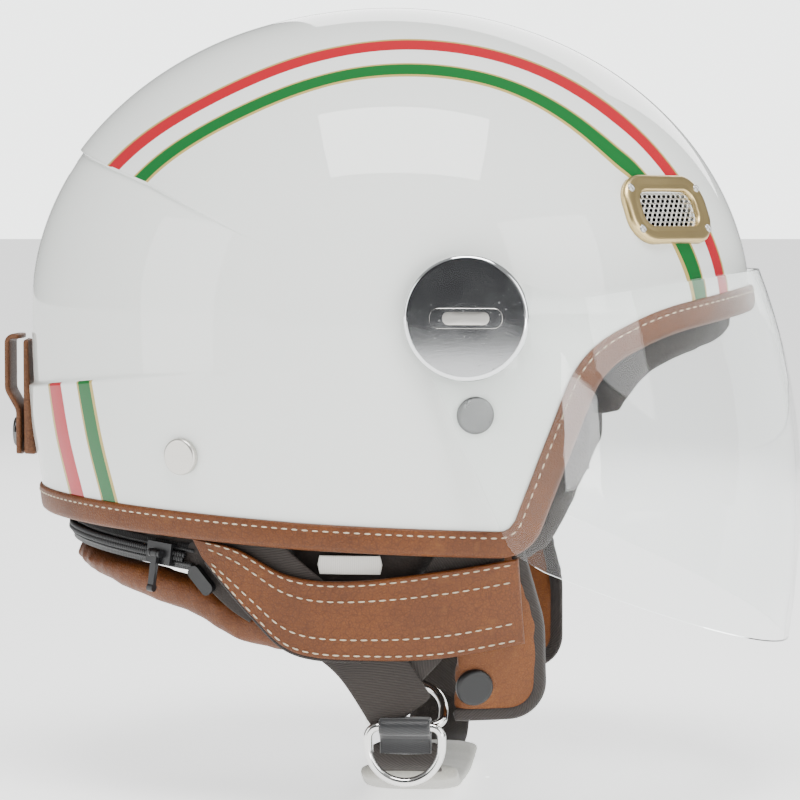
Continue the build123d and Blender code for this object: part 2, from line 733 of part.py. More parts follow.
# --- rear strap loop: fixed base leaf, hinged outer leaf with a snap ------------------------
leaf_base_x = -183.4
leaf_gap = 0.8
snap_z = -49.0
stud_length = 11.2
loop_section = Plane.XZ.offset(-loop_width / 2)
with BuildPart() as loop_base:
    with BuildSketch(loop_section):
        with BuildLine():
            Polyline((leaf_base_x, loop_top_z), (leaf_base_x, loop_bottom_z),
                     (leaf_base_x + 9, loop_bottom_z), (leaf_base_x + 9, loop_top_z), close=True)
        make_face()
    extrude(amount=loop_width)
    add(inset_form(-0.1, shift=low_band_step), mode=Mode.SUBTRACT)
with BuildPart() as loop_leaf:
    with BuildSketch(loop_section):
        with BuildLine() as leaf_line:
            FilletPolyline(
                (leaf_base_x - 1.2, loop_top_z + 1.0), (leaf_base_x - 6.4, loop_top_z + 1.0),
                (leaf_base_x - 6.4, -32.0), (leaf_base_x - leaf_gap - 1.1, -40.0),
                (leaf_base_x - leaf_gap - 1.1, loop_bottom_z), radius=(3.0, 6.0, 6.0),
            )
        trace(leaf_line.line, line_width=loop_leather)
    extrude(amount=loop_width)
rear_snap_plane = Plane(origin=(leaf_base_x, 0, snap_z), x_dir=(0, -1, 0), z_dir=(-1, 0, 0))
with BuildPart() as loop_snap_cap:
    with BuildSketch(rear_snap_plane.offset(leaf_gap + loop_leather)):
        Circle(snap_radius - 1)
    extrude(amount=1.8)
    fillet(loop_snap_cap.faces().sort_by(Axis.X)[0].edges(), 1.0)
with BuildPart() as loop_stud:
    with BuildSketch(rear_snap_plane):
        Circle(3.4)
    extrude(amount=leaf_gap - 0.2)
    with BuildSketch(rear_snap_plane):
        Circle(rivet_radius)
    extrude(amount=-stud_length)
    with BuildSketch(rear_snap_plane.offset(-stud_length)):
        Circle(rivet_radius + 2)
    extrude(amount=-1.0)
for piece in (outer_shell, impact_liner, loop_base):
    with piece:
        with BuildSketch(rear_snap_plane.offset(1)):
            Circle(rivet_radius if piece is not impact_liner else rivet_radius + 4)
        extrude(amount=-14, mode=Mode.SUBTRACT)

# --- nodes: paired pieces are mirrored to the left, small fasteners share a node -----------
nodes = {
    "outer_shell": outer_shell, "rear_vent_grille": rear_vent_grille, "impact_liner": impact_liner,
    "crown_lining": crown_lining, "brow_pad": brow_pad, "edge_trim": edge_trim, "visor": visor,
    "neck_roll": neck_roll, "neck_gusset": neck_gusset, "zip_tape": zip_tape, "zip_chain": zip_chain,
    "zip_slider": zip_slider, "zip_puller": zip_puller, "ring_keeper": ring_keeper,
    "d_ring_lower": d_rings["lower"], "d_ring_upper": d_rings["upper"], "chin_strap": chin_strap,
    "chin_sleeve": chin_sleeve, "loop_base": loop_base, "loop_leaf": loop_leaf,
    "loop_snap_cap": loop_snap_cap, "loop_stud": loop_stud,
}
paired = {
    "cheek_pad": cheek_pad_right, "vent_frame": vent_frame_right, "vent_mesh": vent_mesh_right,
    "visor_base": visor_base_right, "pivot_cap": pivot_cap_right, "strap_rear": strap_rear_right,
    "strap_front": strap_front_right, "ear_flap": ear_flap_right, "flap_binding": flap_binding_right,
    "flap_band": flap_band_right, "flap_snap": flap_snap_right, "size_label": size_label_right,
}
shared = {
    "vent_screws": [vent_screws_right], "pivot_washers": [pivot_washer_right],
    "pivot_screws": [pivot_screw_right], "pivot_nuts": [pivot_nut_right],
    "strap_rivets": list(rivets.values()), "front_rivet_caps": [rivet_caps["front"]],
    "rear_rivet_caps": [rivet_caps["rear"]], "anchor_plates": list(anchor_plates.values()),
    "zip_stops": [zip_stop_right],
}
for name, piece in paired.items():
    with BuildPart() as left_piece:
        mirror(piece.part, about=Plane.XZ)
    nodes[name + "_right"] = piece
    nodes[name + "_left"] = left_piece
for name, members in shared.items():
    with BuildPart() as both_sides:
        for member in members:
            add(member.part)
        mirror(about=Plane.XZ)
    nodes[name] = both_sides
for name, piece in nodes.items():
    piece.part.label = name
    export_step(piece.part, f"parts/{name}.step")
    print(f"{name}: {piece.part.volume / 1000:.1f} cm3, {len(piece.part.solids())} solids")
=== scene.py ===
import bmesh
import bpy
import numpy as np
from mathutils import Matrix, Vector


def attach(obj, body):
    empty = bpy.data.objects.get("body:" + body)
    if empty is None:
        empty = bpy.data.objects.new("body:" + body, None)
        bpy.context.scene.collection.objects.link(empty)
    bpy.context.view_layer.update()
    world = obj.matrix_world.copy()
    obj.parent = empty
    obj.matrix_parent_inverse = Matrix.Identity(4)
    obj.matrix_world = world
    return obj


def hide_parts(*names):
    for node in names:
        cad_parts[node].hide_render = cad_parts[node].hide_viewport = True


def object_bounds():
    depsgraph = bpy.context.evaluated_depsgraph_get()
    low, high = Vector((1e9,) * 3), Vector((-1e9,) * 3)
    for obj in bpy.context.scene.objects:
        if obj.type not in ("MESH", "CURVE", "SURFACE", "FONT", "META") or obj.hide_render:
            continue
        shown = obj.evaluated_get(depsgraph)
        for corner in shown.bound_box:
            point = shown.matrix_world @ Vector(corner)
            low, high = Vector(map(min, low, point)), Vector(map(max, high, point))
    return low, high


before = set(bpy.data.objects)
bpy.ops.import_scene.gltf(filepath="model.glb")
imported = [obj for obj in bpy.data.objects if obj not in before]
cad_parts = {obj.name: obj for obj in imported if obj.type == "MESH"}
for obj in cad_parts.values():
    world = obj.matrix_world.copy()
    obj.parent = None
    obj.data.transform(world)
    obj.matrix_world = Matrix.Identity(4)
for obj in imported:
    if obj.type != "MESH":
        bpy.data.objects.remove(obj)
CAD_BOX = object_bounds()

# %% [markdown]
# An open face helmet, finished piece by piece. The hard parts that the CAD model shapes well keep their
# meshes and get better materials. Everything sewn, padded or painted is a new surface, worked out with
# numpy as a function of two parameters, because that keeps every seam and stitch where a maker would
# put it. Lengths in this file are millimetres until the mesh is made.

MM = 0.001
CENTRE_X = -38.5
HALF_LENGTH, HALF_WIDTH, HEIGHT = 141.0, 119.0, 117.6
TAPER = 533.0
LEFT, RIGHT = 1, -1
TURN = 2 * np.pi

# %% [markdown]
# Every piece of a helmet follows the same form: an egg, round above the brow and slowly tapering below
# it. One function says how wide the form is at a height, and two more put a point on it, either by the
# angle round the head or by its place in side view. An inset moves the point in through the wall.

# %% The form that everything lies on
def girth(z, inset=0.0):
    """Share of the plan ellipse left at height z: the height circle above z = 0, below it one less the
    drop of a large circle, measured against the half length."""
    above = np.sqrt(np.clip(1 - (np.maximum(z, 0) / (HEIGHT - inset)) ** 2, 0, 1))
    below = 1 - (TAPER - np.sqrt(TAPER**2 - np.minimum(z, 0) ** 2)) / (HALF_LENGTH - inset)
    return np.where(z >= 0, above, below)


def around(angle, z, inset=0.0):
    """Point at a plan angle (0 is the front, positive to the rider's left), a height and an inset."""
    share = girth(z, inset)
    x = CENTRE_X + (HALF_LENGTH - inset) * share * np.cos(angle)
    y = (HALF_WIDTH - inset) * share * np.sin(angle)
    return np.stack(np.broadcast_arrays(x, y, z), -1)


def beside(x, z, inset, side):
    """Point at a place in side view: y is the half width times what the plan ellipse leaves at x."""
    along = (x - CENTRE_X) / (HALF_LENGTH - inset)
    y = side * (HALF_WIDTH - inset) * np.sqrt(np.clip(girth(z, inset) ** 2 - along**2, 0, 1))
    return np.stack(np.broadcast_arrays(x, y, z), -1)


def rounded(corners, radii, steps=10):
    """Line through the corners, each turned by a circle that touches both of its runs."""
    corners = [np.array(c, float) for c in corners]
    line = [corners[0][None]]
    for before, corner, after, radius in zip(corners, corners[1:], corners[2:], radii):
        back, on = (v / np.linalg.norm(v) for v in (before - corner, after - corner))
        half = np.arccos(np.clip(back @ on, -1, 1)) / 2
        middle = corner + (back + on) / np.linalg.norm(back + on) * radius / np.sin(half)
        first, last = (corner + v * radius / np.tan(half) - middle for v in (back, on))
        bend, share = np.pi - 2 * half, np.linspace(0, 1, steps)[:, None]
        swept = np.sin((1 - share) * bend) * first + np.sin(share * bend) * last
        line.append(middle + swept / np.sin(bend))
    return np.concatenate(line + [corners[-1][None]])


RIM = rounded([(-320, -67), (-60, -83), (20.5, -86.5), (46.5, -18), (70, -5.5), (320, 50)], [200, 14, 30, 80])


def rim(x):
    """Height of the rim in side view."""
    return np.interp(x, RIM[:, 0], RIM[:, 1])


def beyond_rim(rise):
    """The rim line moved square to itself by the rise, positive upwards, as a function of x."""
    ahead = np.gradient(RIM, axis=0)
    ahead /= np.linalg.norm(ahead, axis=1, keepdims=True)
    line = RIM + np.stack([-ahead[:, 1], ahead[:, 0]], 1) * rise
    order = np.argsort(line[:, 0])
    return lambda x: np.interp(x, line[order, 0], line[order, 1])


def height_on(line, angle, inset=0.0):
    """Height at which the form, at this plan angle, meets a line drawn in side view: halved 40 times."""
    low, high = np.full(np.shape(angle), -150.0), np.full(np.shape(angle), HEIGHT - 1.0)
    for _ in range(40):
        middle = (low + high) / 2
        x = CENTRE_X + (HALF_LENGTH - inset) * girth(middle, inset) * np.cos(angle)
        under = middle < line(x)
        low, high = np.where(under, middle, low), np.where(under, high, middle)
    return (low + high) / 2


def smooth(value, low, high):
    """0 below low, 1 above high, and an S between them."""
    t = np.clip((value - low) / (high - low), 0, 1)
    return t * t * (3 - 2 * t)


print("rim at the ear", round(float(rim(0.0)), 1), "mm, at the brow", round(float(rim(90.0)), 1), "mm")

# %% [markdown]
# A mesh is a grid of points wrapped up as quads. A direction that comes back to its start is closed,
# and a direction that shrinks to a point is welded there, so every piece is one closed skin. The grid's
# own lengths become its UV map in metres, which lets a weave follow the cloth.

# %% Grid to object
def made(name, verts, faces, uv=None):
    """Object from points in millimetres and quads, with a UV map in metres on each corner."""
    mesh = bpy.data.meshes.new(name)
    mesh.from_pydata((np.asarray(verts).reshape(-1, 3) * MM).tolist(), [], np.asarray(faces).tolist())
    if uv is not None:
        layer = mesh.uv_layers.new(name="cloth")
        corners = np.asarray(uv)[np.asarray(faces).ravel()] * MM
        layer.data.foreach_set("uv", corners.astype(np.float32).ravel())
    mesh.polygons.foreach_set("use_smooth", [True] * len(mesh.polygons))
    piece = bpy.data.objects.new(name, mesh)
    bpy.context.scene.collection.objects.link(piece)
    return piece


def quads(rows, columns, close_rows=False, close_columns=False):
    """Corner numbers of every quad of a grid, wrapped round where a direction is closed."""
    i = np.arange(rows if close_rows else rows - 1)[:, None]
    j = np.arange(columns if close_columns else columns - 1)[None]
    a, b = i * columns + j, i * columns + (j + 1) % columns
    c, d = (i + 1) % rows * columns + (j + 1) % columns, (i + 1) % rows * columns + j
    return np.stack(np.broadcast_arrays(a, b, c, d), -1).reshape(-1, 4)


def lengths(points, axis):
    """Running length of the grid lines along one direction, averaged over the other."""
    step = np.linalg.norm(np.diff(points, axis=axis), axis=-1).mean(1 - axis)
    return np.concatenate([[0], np.cumsum(step)])


def weld(piece, distance=0.004):
    """Merges doubled points, drops what has no area and turns every face outwards."""
    skin = bmesh.new()
    skin.from_mesh(piece.data)
    bmesh.ops.remove_doubles(skin, verts=skin.verts, dist=distance * MM)
    bmesh.ops.dissolve_degenerate(skin, edges=skin.edges, dist=distance * MM / 4)
    bmesh.ops.holes_fill(skin, edges=[e for e in skin.edges if e.is_boundary], sides=0)
    bmesh.ops.recalc_face_normals(skin, faces=skin.faces)
    skin.to_mesh(piece.data)
    skin.free()
    return piece


def surface(name, points, close_rows=False, close_columns=False, solid=True):
    """Object from a grid of points, rows by columns."""
    rows, columns = points.shape[:2]
    uv = np.stack(np.meshgrid(lengths(points, 0), lengths(points, 1), indexing="ij"), -1).reshape(-1, 2)
    piece = made(name, points, quads(rows, columns, close_rows, close_columns), uv)
    return weld(piece) if solid else piece


def settle(piece, body, slot, *nodes, finish=None, fill=None):
    """Rides the piece on its body, hides the CAD nodes it replaces and gives it its finish."""
    if finish:
        piece.data.materials.clear()
        piece.data.materials.append(finish)
    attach(piece, body)
    if nodes:
        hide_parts(*nodes)
    print(piece.name, len(piece.data.polygons), "faces")
    return piece


def pill(count, squareness=3.0):
    """Closed rounded-square outline: cosine and sine, each raised to 2 over the squareness."""
    t = np.arange(count) * TURN / count
    c, s = np.cos(t), np.sin(t)
    return np.sign(c) * abs(c) ** (2 / squareness), np.sign(s) * abs(s) ** (2 / squareness)


def round_off(t, reach=0.06):
    """Share of full size along a run: a quarter circle up from nothing at each end."""
    near = np.clip(np.minimum(t, 1 - t) / reach, 0, 1)
    return np.sqrt(np.clip(1 - (1 - near) ** 2, 0, 1))


def crowded(count):
    """Numbers from 0 to 1 that stand closer together at both ends."""
    t = np.linspace(0, 1, count)
    return t - np.sin(TURN * t) / TURN * 0.85


def spline(points, count):
    """Smooth line through a few points: each span is the cubic whose slopes are the neighbours' average."""
    p = np.array(points, float)
    p = np.concatenate([[2 * p[0] - p[1]], p, [2 * p[-1] - p[-2]]])
    s = np.linspace(0, len(points) - 1 - 1e-9, count)
    k, t = s.astype(int), (s % 1)[:, None]
    a, b, c, d = p[k], p[k + 1], p[k + 2], p[k + 3]
    return 0.5 * (2 * b + (c - a) * t + (2 * a - 5 * b + 4 * c - d) * t**2 + (3 * b - a - 3 * c + d) * t**3)


def even(line, count):
    """The same line with its points an equal length apart."""
    run = np.concatenate([[0], np.cumsum(np.linalg.norm(np.diff(line, axis=0), axis=1))])
    at = np.linspace(0, run[-1], count)
    return np.stack([np.interp(at, run, line[:, k]) for k in range(line.shape[1])], -1)


def tangents(line):
    """Unit direction of a line at each of its points."""
    ahead = np.gradient(line, axis=0)
    return ahead / np.linalg.norm(ahead, axis=-1, keepdims=True)


# %% [markdown]
# Shader maths reads best as arithmetic. A Wire wraps a socket, so that mask * 0.5 + 1 adds the nodes
# itself. A Finish holds one material: its shader, one method that adds any node, and the few patterns
# that leather, cloth and metal share.

# %% Wires and finishes
class Wire:
    """A socket that takes part in arithmetic. Each operator adds one Math node."""

    def __init__(self, finish, socket):
        self.finish, self.socket = finish, socket

    def maths(self, operation, *values):
        return self.finish.node("ShaderNodeMath", {"operation": operation}, dict(enumerate(values)))

    def __add__(self, other): return self.maths("ADD", self, other)
    def __sub__(self, other): return self.maths("SUBTRACT", self, other)
    def __rsub__(self, other): return self.maths("SUBTRACT", other, self)
    def __mul__(self, other): return self.maths("MULTIPLY", self, other)
    def __pow__(self, other): return self.maths("POWER", self, other)
    def __gt__(self, other): return self.maths("GREATER_THAN", self, other)
    def __lt__(self, other): return self.maths("LESS_THAN", self, other)
    def sine(self): return self.maths("SINE", self)
    __radd__, __rmul__ = __add__, __mul__

    def ramp(self, low, high):
        """Smooth step from 0 to 1 as the value goes from low to high."""
        return self.finish.node("ShaderNodeMapRange", {"interpolation_type": "SMOOTHSTEP"},
                                {"Value": self, "From Min": low, "From Max": high})


class Finish:
    """One material: constants on its shader, and links for what changes over the surface."""

    def __init__(self, name, colour, roughness=0.5, **constants):
        self.material = bpy.data.materials.new(name)
        self.material.use_nodes = True
        self.tree = self.material.node_tree
        self.shader = self.tree.nodes["Principled BSDF"]
        self.material.diffuse_color = (*colour, 1)
        self.set(Base_Color=(*colour, 1), Roughness=roughness, **constants)
        self.place = self.node("ShaderNodeTexCoord", out="Object")

    def node(self, kind, settings=None, inputs=None, out=0):
        """Adds a node: its settings first, then the values or links of its sockets."""
        node = self.tree.nodes.new(kind)
        for key, value in (settings or {}).items():
            setattr(node, key, value)
        for key, value in (inputs or {}).items():
            if isinstance(value, Wire):
                self.tree.links.new(value.socket, node.inputs[key])
            else:
                node.inputs[key].default_value = value
        return Wire(self, node.outputs[out])

    def set(self, **values):
        for key, value in values.items():
            socket = self.shader.inputs[key.replace("_", " ")]
            if isinstance(value, Wire):
                self.tree.links.new(value.socket, socket)
            else:
                socket.default_value = value

    def mix(self, share, a, b):
        a, b = ((*c, 1) if isinstance(c, tuple) and len(c) == 3 else c for c in (a, b))
        return self.node("ShaderNodeMix", {"data_type": "RGBA"}, {0: share, 6: a, 7: b}, out=2)

    def noise(self, scale, detail=3.0, rough=0.5):
        """Soft random pattern, as many times a metre as its scale."""
        return self.node("ShaderNodeTexNoise", None, {"Vector": self.place, "Scale": scale, "Detail": detail,
                                                      "Roughness": rough}, out="Fac")

    def cells(self, scale, feature="DISTANCE_TO_EDGE", vector=None):
        """Random cells: the distance to their edge, or to their middle with the feature F1."""
        return self.node("ShaderNodeTexVoronoi", {"feature": feature},
                         {"Vector": vector or self.place, "Scale": scale}, out="Distance")

    def cloth(self):
        """The piece's own lengths in metres, along and across."""
        laid = self.node("ShaderNodeUVMap", {"uv_map": "cloth"})
        split = self.node("ShaderNodeSeparateXYZ", None, {0: laid})
        return [Wire(self, s) for s in split.socket.node.outputs[:2]]

    def held(self, name):
        """A number stored on the mesh."""
        return self.node("ShaderNodeAttribute", {"attribute_name": name}, out="Fac")

    def bump(self, height, depth, strength):
        """Normal from a height between 0 and 1 that stands for depth millimetres."""
        return self.node("ShaderNodeBump", None,
                         {"Height": height, "Distance": depth * MM, "Strength": strength})


def leather(name, colour, dark, worn, grain=900.0, roughness=0.46):
    """Pebbled hide: cells of two sizes with fine creases between them, darker in the creases, with
    slow changes of tone and paler rubbed patches."""
    f = Finish(name, colour, roughness, Coat_Weight=0.03, Coat_Roughness=0.35, Specular_IOR_Level=0.32)
    drift = f.node("ShaderNodeVectorMath", {"operation": "MULTIPLY_ADD"},
                   {0: f.node("ShaderNodeTexNoise", None, {"Vector": f.place, "Scale": 320.0}, out="Color"),
                    1: (0.0012, 0.0012, 0.0012), 2: f.place})
    pebbles = f.cells(grain, vector=drift).ramp(0.0, 0.34)
    creases = f.cells(grain * 0.42, vector=drift).ramp(0.0, 0.10)
    fine = f.noise(grain * 3.2, 4.0)
    tone = f.noise(38.0, 4.0).ramp(0.3, 0.72)
    rubbed = f.noise(120.0, 5.0, rough=0.62).ramp(0.56, 0.8)
    hide = f.mix((1 - pebbles) * 0.5 + (1 - creases) * 0.35, f.mix(tone * 0.55, colour, dark), dark)
    f.set(Base_Color=f.mix(rubbed * 0.3, hide, worn), Roughness=roughness + fine * 0.14 - pebbles * 0.08,
          Normal=f.bump(pebbles * 0.62 + creases * 0.3 + fine * 0.12, 0.16, 0.75))
    return f.material


def weave(name, colour, dark, rib=0.0014, slant=1.0, thread=0.0005, roughness=0.7, sheen=0.25, depth=0.22):
    """Ribbed narrow fabric: slanted ribs as a sine across the cloth, fine threads crossing them, and
    tone that shifts from yarn to yarn."""
    f = Finish(name, colour, roughness, Sheen_Weight=sheen, Sheen_Roughness=0.45)
    along, over = f.cloth()
    ribs = (((along + over * slant) * (TURN / rib)).sine() * 0.5 + 0.5) ** 0.7
    threads = ((along - over * slant) * (TURN / thread)).sine() * 0.5 + 0.5
    yarn = f.noise(2200.0, 2.0)
    tone = f.noise(60.0, 3.0).ramp(0.3, 0.75)
    f.set(Base_Color=f.mix(ribs * 0.65 + threads * 0.15 + yarn * 0.2, dark, f.mix(tone * 0.5, colour, dark)),
          Roughness=roughness + yarn * 0.18 - ribs * 0.08,
          Normal=f.bump(ribs * 0.7 + threads * 0.2 + yarn * 0.15, depth, 0.8))
    return f.material


def metal(name, colour, roughness, marks, brushed=0.0):
    """Plated or polished metal: faint wipe marks and pits that change the roughness, and dulled spots."""
    f = Finish(name, colour, roughness, Metallic=1.0, Specular_IOR_Level=0.5)
    wipes = f.noise(90.0, 5.0, rough=0.6).ramp(0.35, 0.8)
    fine = f.noise(2600.0, 3.0)
    pits = f.cells(420.0, "F1").ramp(0.04, 0.16)
    f.set(Roughness=roughness + wipes * marks * 0.5 + fine * marks * 0.3 + (1 - pits) * 0.05 + brushed * fine,
          Base_Color=f.mix(wipes * 0.18, colour, tuple(c * 0.82 for c in colour)),
          Normal=f.bump(fine * 0.5 + pits * 0.5, 0.008 + 0.02 * brushed, 0.5))
    return f.material


def plastic(name, colour, roughness=0.4, grain=1800.0, depth=0.03):
    """Moulded plastic: a fine spark texture and slow changes of shine."""
    f = Finish(name, colour, roughness, Specular_IOR_Level=0.45)
    spark = f.noise(grain, 3.0)
    cloud = f.noise(70.0, 4.0).ramp(0.35, 0.75)
    f.set(Base_Color=f.mix(cloud * 0.35 + spark * 0.15, colour, tuple(c * 0.7 for c in colour)),
          Roughness=roughness + cloud * 0.1 + spark * 0.08, Normal=f.bump(spark, depth, 0.6))
    return f.material


def pile(name, colour, dark, scale=1500.0, depth=0.25, roughness=0.85, sheen=0.6):
    """Brushed comfort fabric: short crossing fibres, with soft hollows given only as painted shade in darker patches.
    """
    f = Finish(name, colour, roughness, Sheen_Weight=sheen, Sheen_Roughness=0.5)
    fibre = f.noise(scale, 5.0, rough=0.7)
    knit = f.cells(scale * 0.5, "F1").ramp(0.0, 0.7)
    # Painted shade: soft random patches darken the colour as the shade of hollows, and the bump leaves them out.
    hollow_shade = f.noise(55.0, 3.0).ramp(0.3, 0.7)
    f.set(Base_Color=f.mix(fibre * 0.5 + knit * 0.3 + hollow_shade * 0.2, colour, dark),
          Normal=f.bump(fibre * 0.5 + knit * 0.5, depth, 0.8))
    return f.material


TAN = leather("tan_leather", (0.150, 0.042, 0.0045), (0.066, 0.017, 0.002), (0.24, 0.088, 0.017))
TAN_PALE = leather("tan_lining", (0.180, 0.054, 0.007), (0.085, 0.024, 0.003),
                   (0.27, 0.108, 0.024), 1100.0, 0.52)
BROWN = leather("loop_leather", (0.15, 0.058, 0.022), (0.07, 0.026, 0.010), (0.26, 0.13, 0.06), 800.0, 0.5)
PAD = pile("pad_fabric", (0.018, 0.0095, 0.0058), (0.007, 0.0038, 0.0025), sheen=0.03)
GUSSET = pile("gusset_fabric", (0.026, 0.016, 0.011), (0.008, 0.005, 0.004), 1900.0, 0.16, 0.8, 0.1)
SUEDE = pile("sleeve_suede", (0.44, 0.43, 0.38), (0.29, 0.28, 0.25), 1700.0, 0.18, 0.85, 0.5)
WEBBING = weave("strap_webbing", (0.024, 0.016, 0.012), (0.012, 0.008, 0.006),
                0.0013, 0.8, 0.0005, 0.68, 0.03, 0.2)
TWILL = weave("binding_twill", (0.024, 0.014, 0.010), (0.005, 0.003, 0.002),
              0.0014, 1.2, 0.0005, 0.65, 0.03, 0.25)
TAPE = weave("zip_tape_cloth", (0.020, 0.020, 0.021), (0.006, 0.006, 0.006),
             0.0010, 0.0, 0.0005, 0.55, 0.15, 0.15)
SATIN = weave("keeper_satin", (0.022, 0.022, 0.024), (0.006, 0.006, 0.007),
              0.0008, 0.25, 0.0004, 0.38, 0.3, 0.08)
COTTON = weave("label_cotton", (0.78, 0.76, 0.71), (0.58, 0.56, 0.52), 0.0007, 0.0, 0.0005, 0.8, 0.1, 0.06)
CHROME = metal("chrome", (0.80, 0.81, 0.82), 0.045, 0.05)
NICKEL = metal("polished_nickel", (0.78, 0.77, 0.75), 0.09, 0.10)
DARK_NICKEL = metal("dark_nickel", (0.13, 0.13, 0.13), 0.20, 0.12)
SATIN_SILVER = metal("satin_silver", (0.62, 0.60, 0.56), 0.28, 0.15)
BRASS = metal("brass", (0.66, 0.50, 0.24), 0.27, 0.14, 0.06)
STEEL = metal("plain_steel", (0.50, 0.50, 0.49), 0.34, 0.16, 0.05)
MESH_METAL = metal("mesh_metal", (0.74, 0.73, 0.70), 0.24, 0.14)
ZIP_PLASTIC = plastic("zip_plastic", (0.010, 0.010, 0.011), 0.30)
BLACK = plastic("black_nylon", (0.006, 0.006, 0.0065), 0.30)
FOAM = plastic("liner_foam", (0.055, 0.055, 0.057), 0.7, 500.0, 0.4)
THREAD = weave("cream_thread", (0.72, 0.62, 0.46), (0.42, 0.34, 0.22), 0.0006, 1.0, 0.0003, 0.6, 0.3, 0.10)

# %% [markdown]
# The shell is sprayed white, with a tricolour ribbon on each side and clear lacquer over all of it. The
# ribbons could be decals, but a number stored on the mesh, how far a point lies across the ribbon, keeps
# their edges crisp at any size. The shader then only compares that number with the ribbon's colours.

# %% The painted finish
def shell_paint():
    """White base coat; gold, red, white, green and gold lanes; lacquer with a faint orange peel."""
    white, gold = (0.80, 0.82, 0.79), (0.44, 0.33, 0.10)
    f = Finish("shell_paint", white, 0.5, Coat_Roughness=0.02, Coat_IOR=1.5, Specular_IOR_Level=0.0)
    lane, painted = f.held("lane"), f.held("ribbon") > 0.5

    def between(low, high):
        return (lane > low) * (lane < high) * painted

    dust = f.noise(14.0, 5.0).ramp(0.35, 0.75)
    colour = f.mix(dust * 0.10, white, (0.74, 0.755, 0.725))
    colour = f.mix(between(-0.055, 1.055), colour, gold)
    colour = f.mix(between(0.0, 1.0), colour, (0.82, 0.83, 0.81))
    colour = f.mix(between(0.0, 0.33), colour, (0.42, 0.003, 0.014))
    colour = f.mix(between(0.72, 0.755), colour, gold)
    colour = f.mix(between(0.755, 1.0), colour, (0.004, 0.115, 0.022))
    peel = f.noise(260.0, 2.0)
    scuff = f.noise(900.0, 6.0, rough=0.7).ramp(0.62, 0.8)
    f.set(Base_Color=colour, Roughness=0.5 + scuff * 0.12, Coat_Weight=1.0 - scuff * 0.1,
          Normal=f.bump(peel, 0.018, 0.35))
    return f.material


PAINT = shell_paint()

# %% [markdown]
# The shell itself is a grid: columns stand a fixed length apart along the rim, and rows climb from the
# rim to the crown. Rows gather at the two moulded lines, so the step of the crown cap and of the low
# rear band is a clean bend instead of a staircase. The inner wall is the same grid, four millimetres in.

# %% Shell
CROWN_LINE = np.array([(-200, 78), (-154, 60.8), (-120, 48.2), (-80, 28.8), (-60, 20), (0, 24),
                       (110, 40)], float)
BAND_LINE = np.array([(-200, -32.3), (-159, -26.6), (-123, -22.6), (-80, -19.6), (-60, -17), (20, -8),
                      (50, 6), (110, 21)], float)
WALL, STEP = 4.0, 2.0


def climb(z):
    """Length measure up the form: the height below the brow, the arc of the height circle above it."""
    return np.where(z < 0, z, HEIGHT * np.arcsin(np.clip(z / HEIGHT, -1, 1)))


def height_of(c):
    """Height at a length measure, the reverse of climb."""
    return np.where(c < 0, c, HEIGHT * np.sin(np.clip(c / HEIGHT, 0, np.pi / 2)))


def rim_angles(count):
    """Plan angles whose rim points lie an equal length apart, all the way round."""
    dense = np.linspace(0, TURN, 4001)
    line = around(dense, height_on(rim, dense))
    run = np.concatenate([[0], np.cumsum(np.linalg.norm(np.diff(line, axis=0), axis=1))])
    return np.interp(np.arange(count) / count * run[-1], run, dense)


ROUND = rim_angles(480)


def shell_rows():
    """Heights of the outer rows at every column, with six rows across each moulded line."""
    reach = 1.3
    bend = np.array([-reach, -0.7, -0.25, 0.25, 0.7, reach])
    low = climb(height_on(rim, ROUND))
    band = climb(height_on(lambda x: np.interp(x, *BAND_LINE.T), ROUND))
    crown = climb(height_on(lambda x: np.interp(x, *CROWN_LINE.T), ROUND))
    top = HEIGHT * np.pi / 2

    def span(a, b, count):
        return a + np.linspace(0, 1, count + 2)[1:-1, None] * (b - a)

    rows = [low[None], span(low, band - reach, 26), band + bend[:, None],
            span(band + reach, crown - reach, 36), crown + bend[:, None],
            span(crown + reach, top, 64), np.full((1, len(ROUND)), top)]
    return np.concatenate(rows), band, crown


def outer_shell():
    rows, band, crown = shell_rows()
    out = around(ROUND[None], height_of(rows))
    x = out[..., 0]
    cap = smooth(rows - crown, -0.8, 0.8) * (1 - smooth(x, -100, -55))
    low = (1 - smooth(rows - band, -0.8, 0.8)) * (1 - smooth(x, -118, -80))
    low = low * (0.25 + 0.75 * smooth(rows - rows[0], 4, 34))
    out[..., 0] -= STEP * (cap + low)
    inner_rows = np.linspace(0, 1, 34)[:, None]
    inner_low = height_on(rim, ROUND, WALL)
    inner_climb = climb(inner_low) * (1 - inner_rows) + inner_rows * HEIGHT * np.pi / 2
    inner = around(ROUND[None], np.minimum(height_of(inner_climb), HEIGHT - WALL), WALL)
    points = np.concatenate([inner[::-1], out])
    piece = surface("shell", points, close_columns=True)
    verts = np.array([v.co for v in piece.data.vertices]) / MM
    add_ribbons(piece, verts)
    return piece


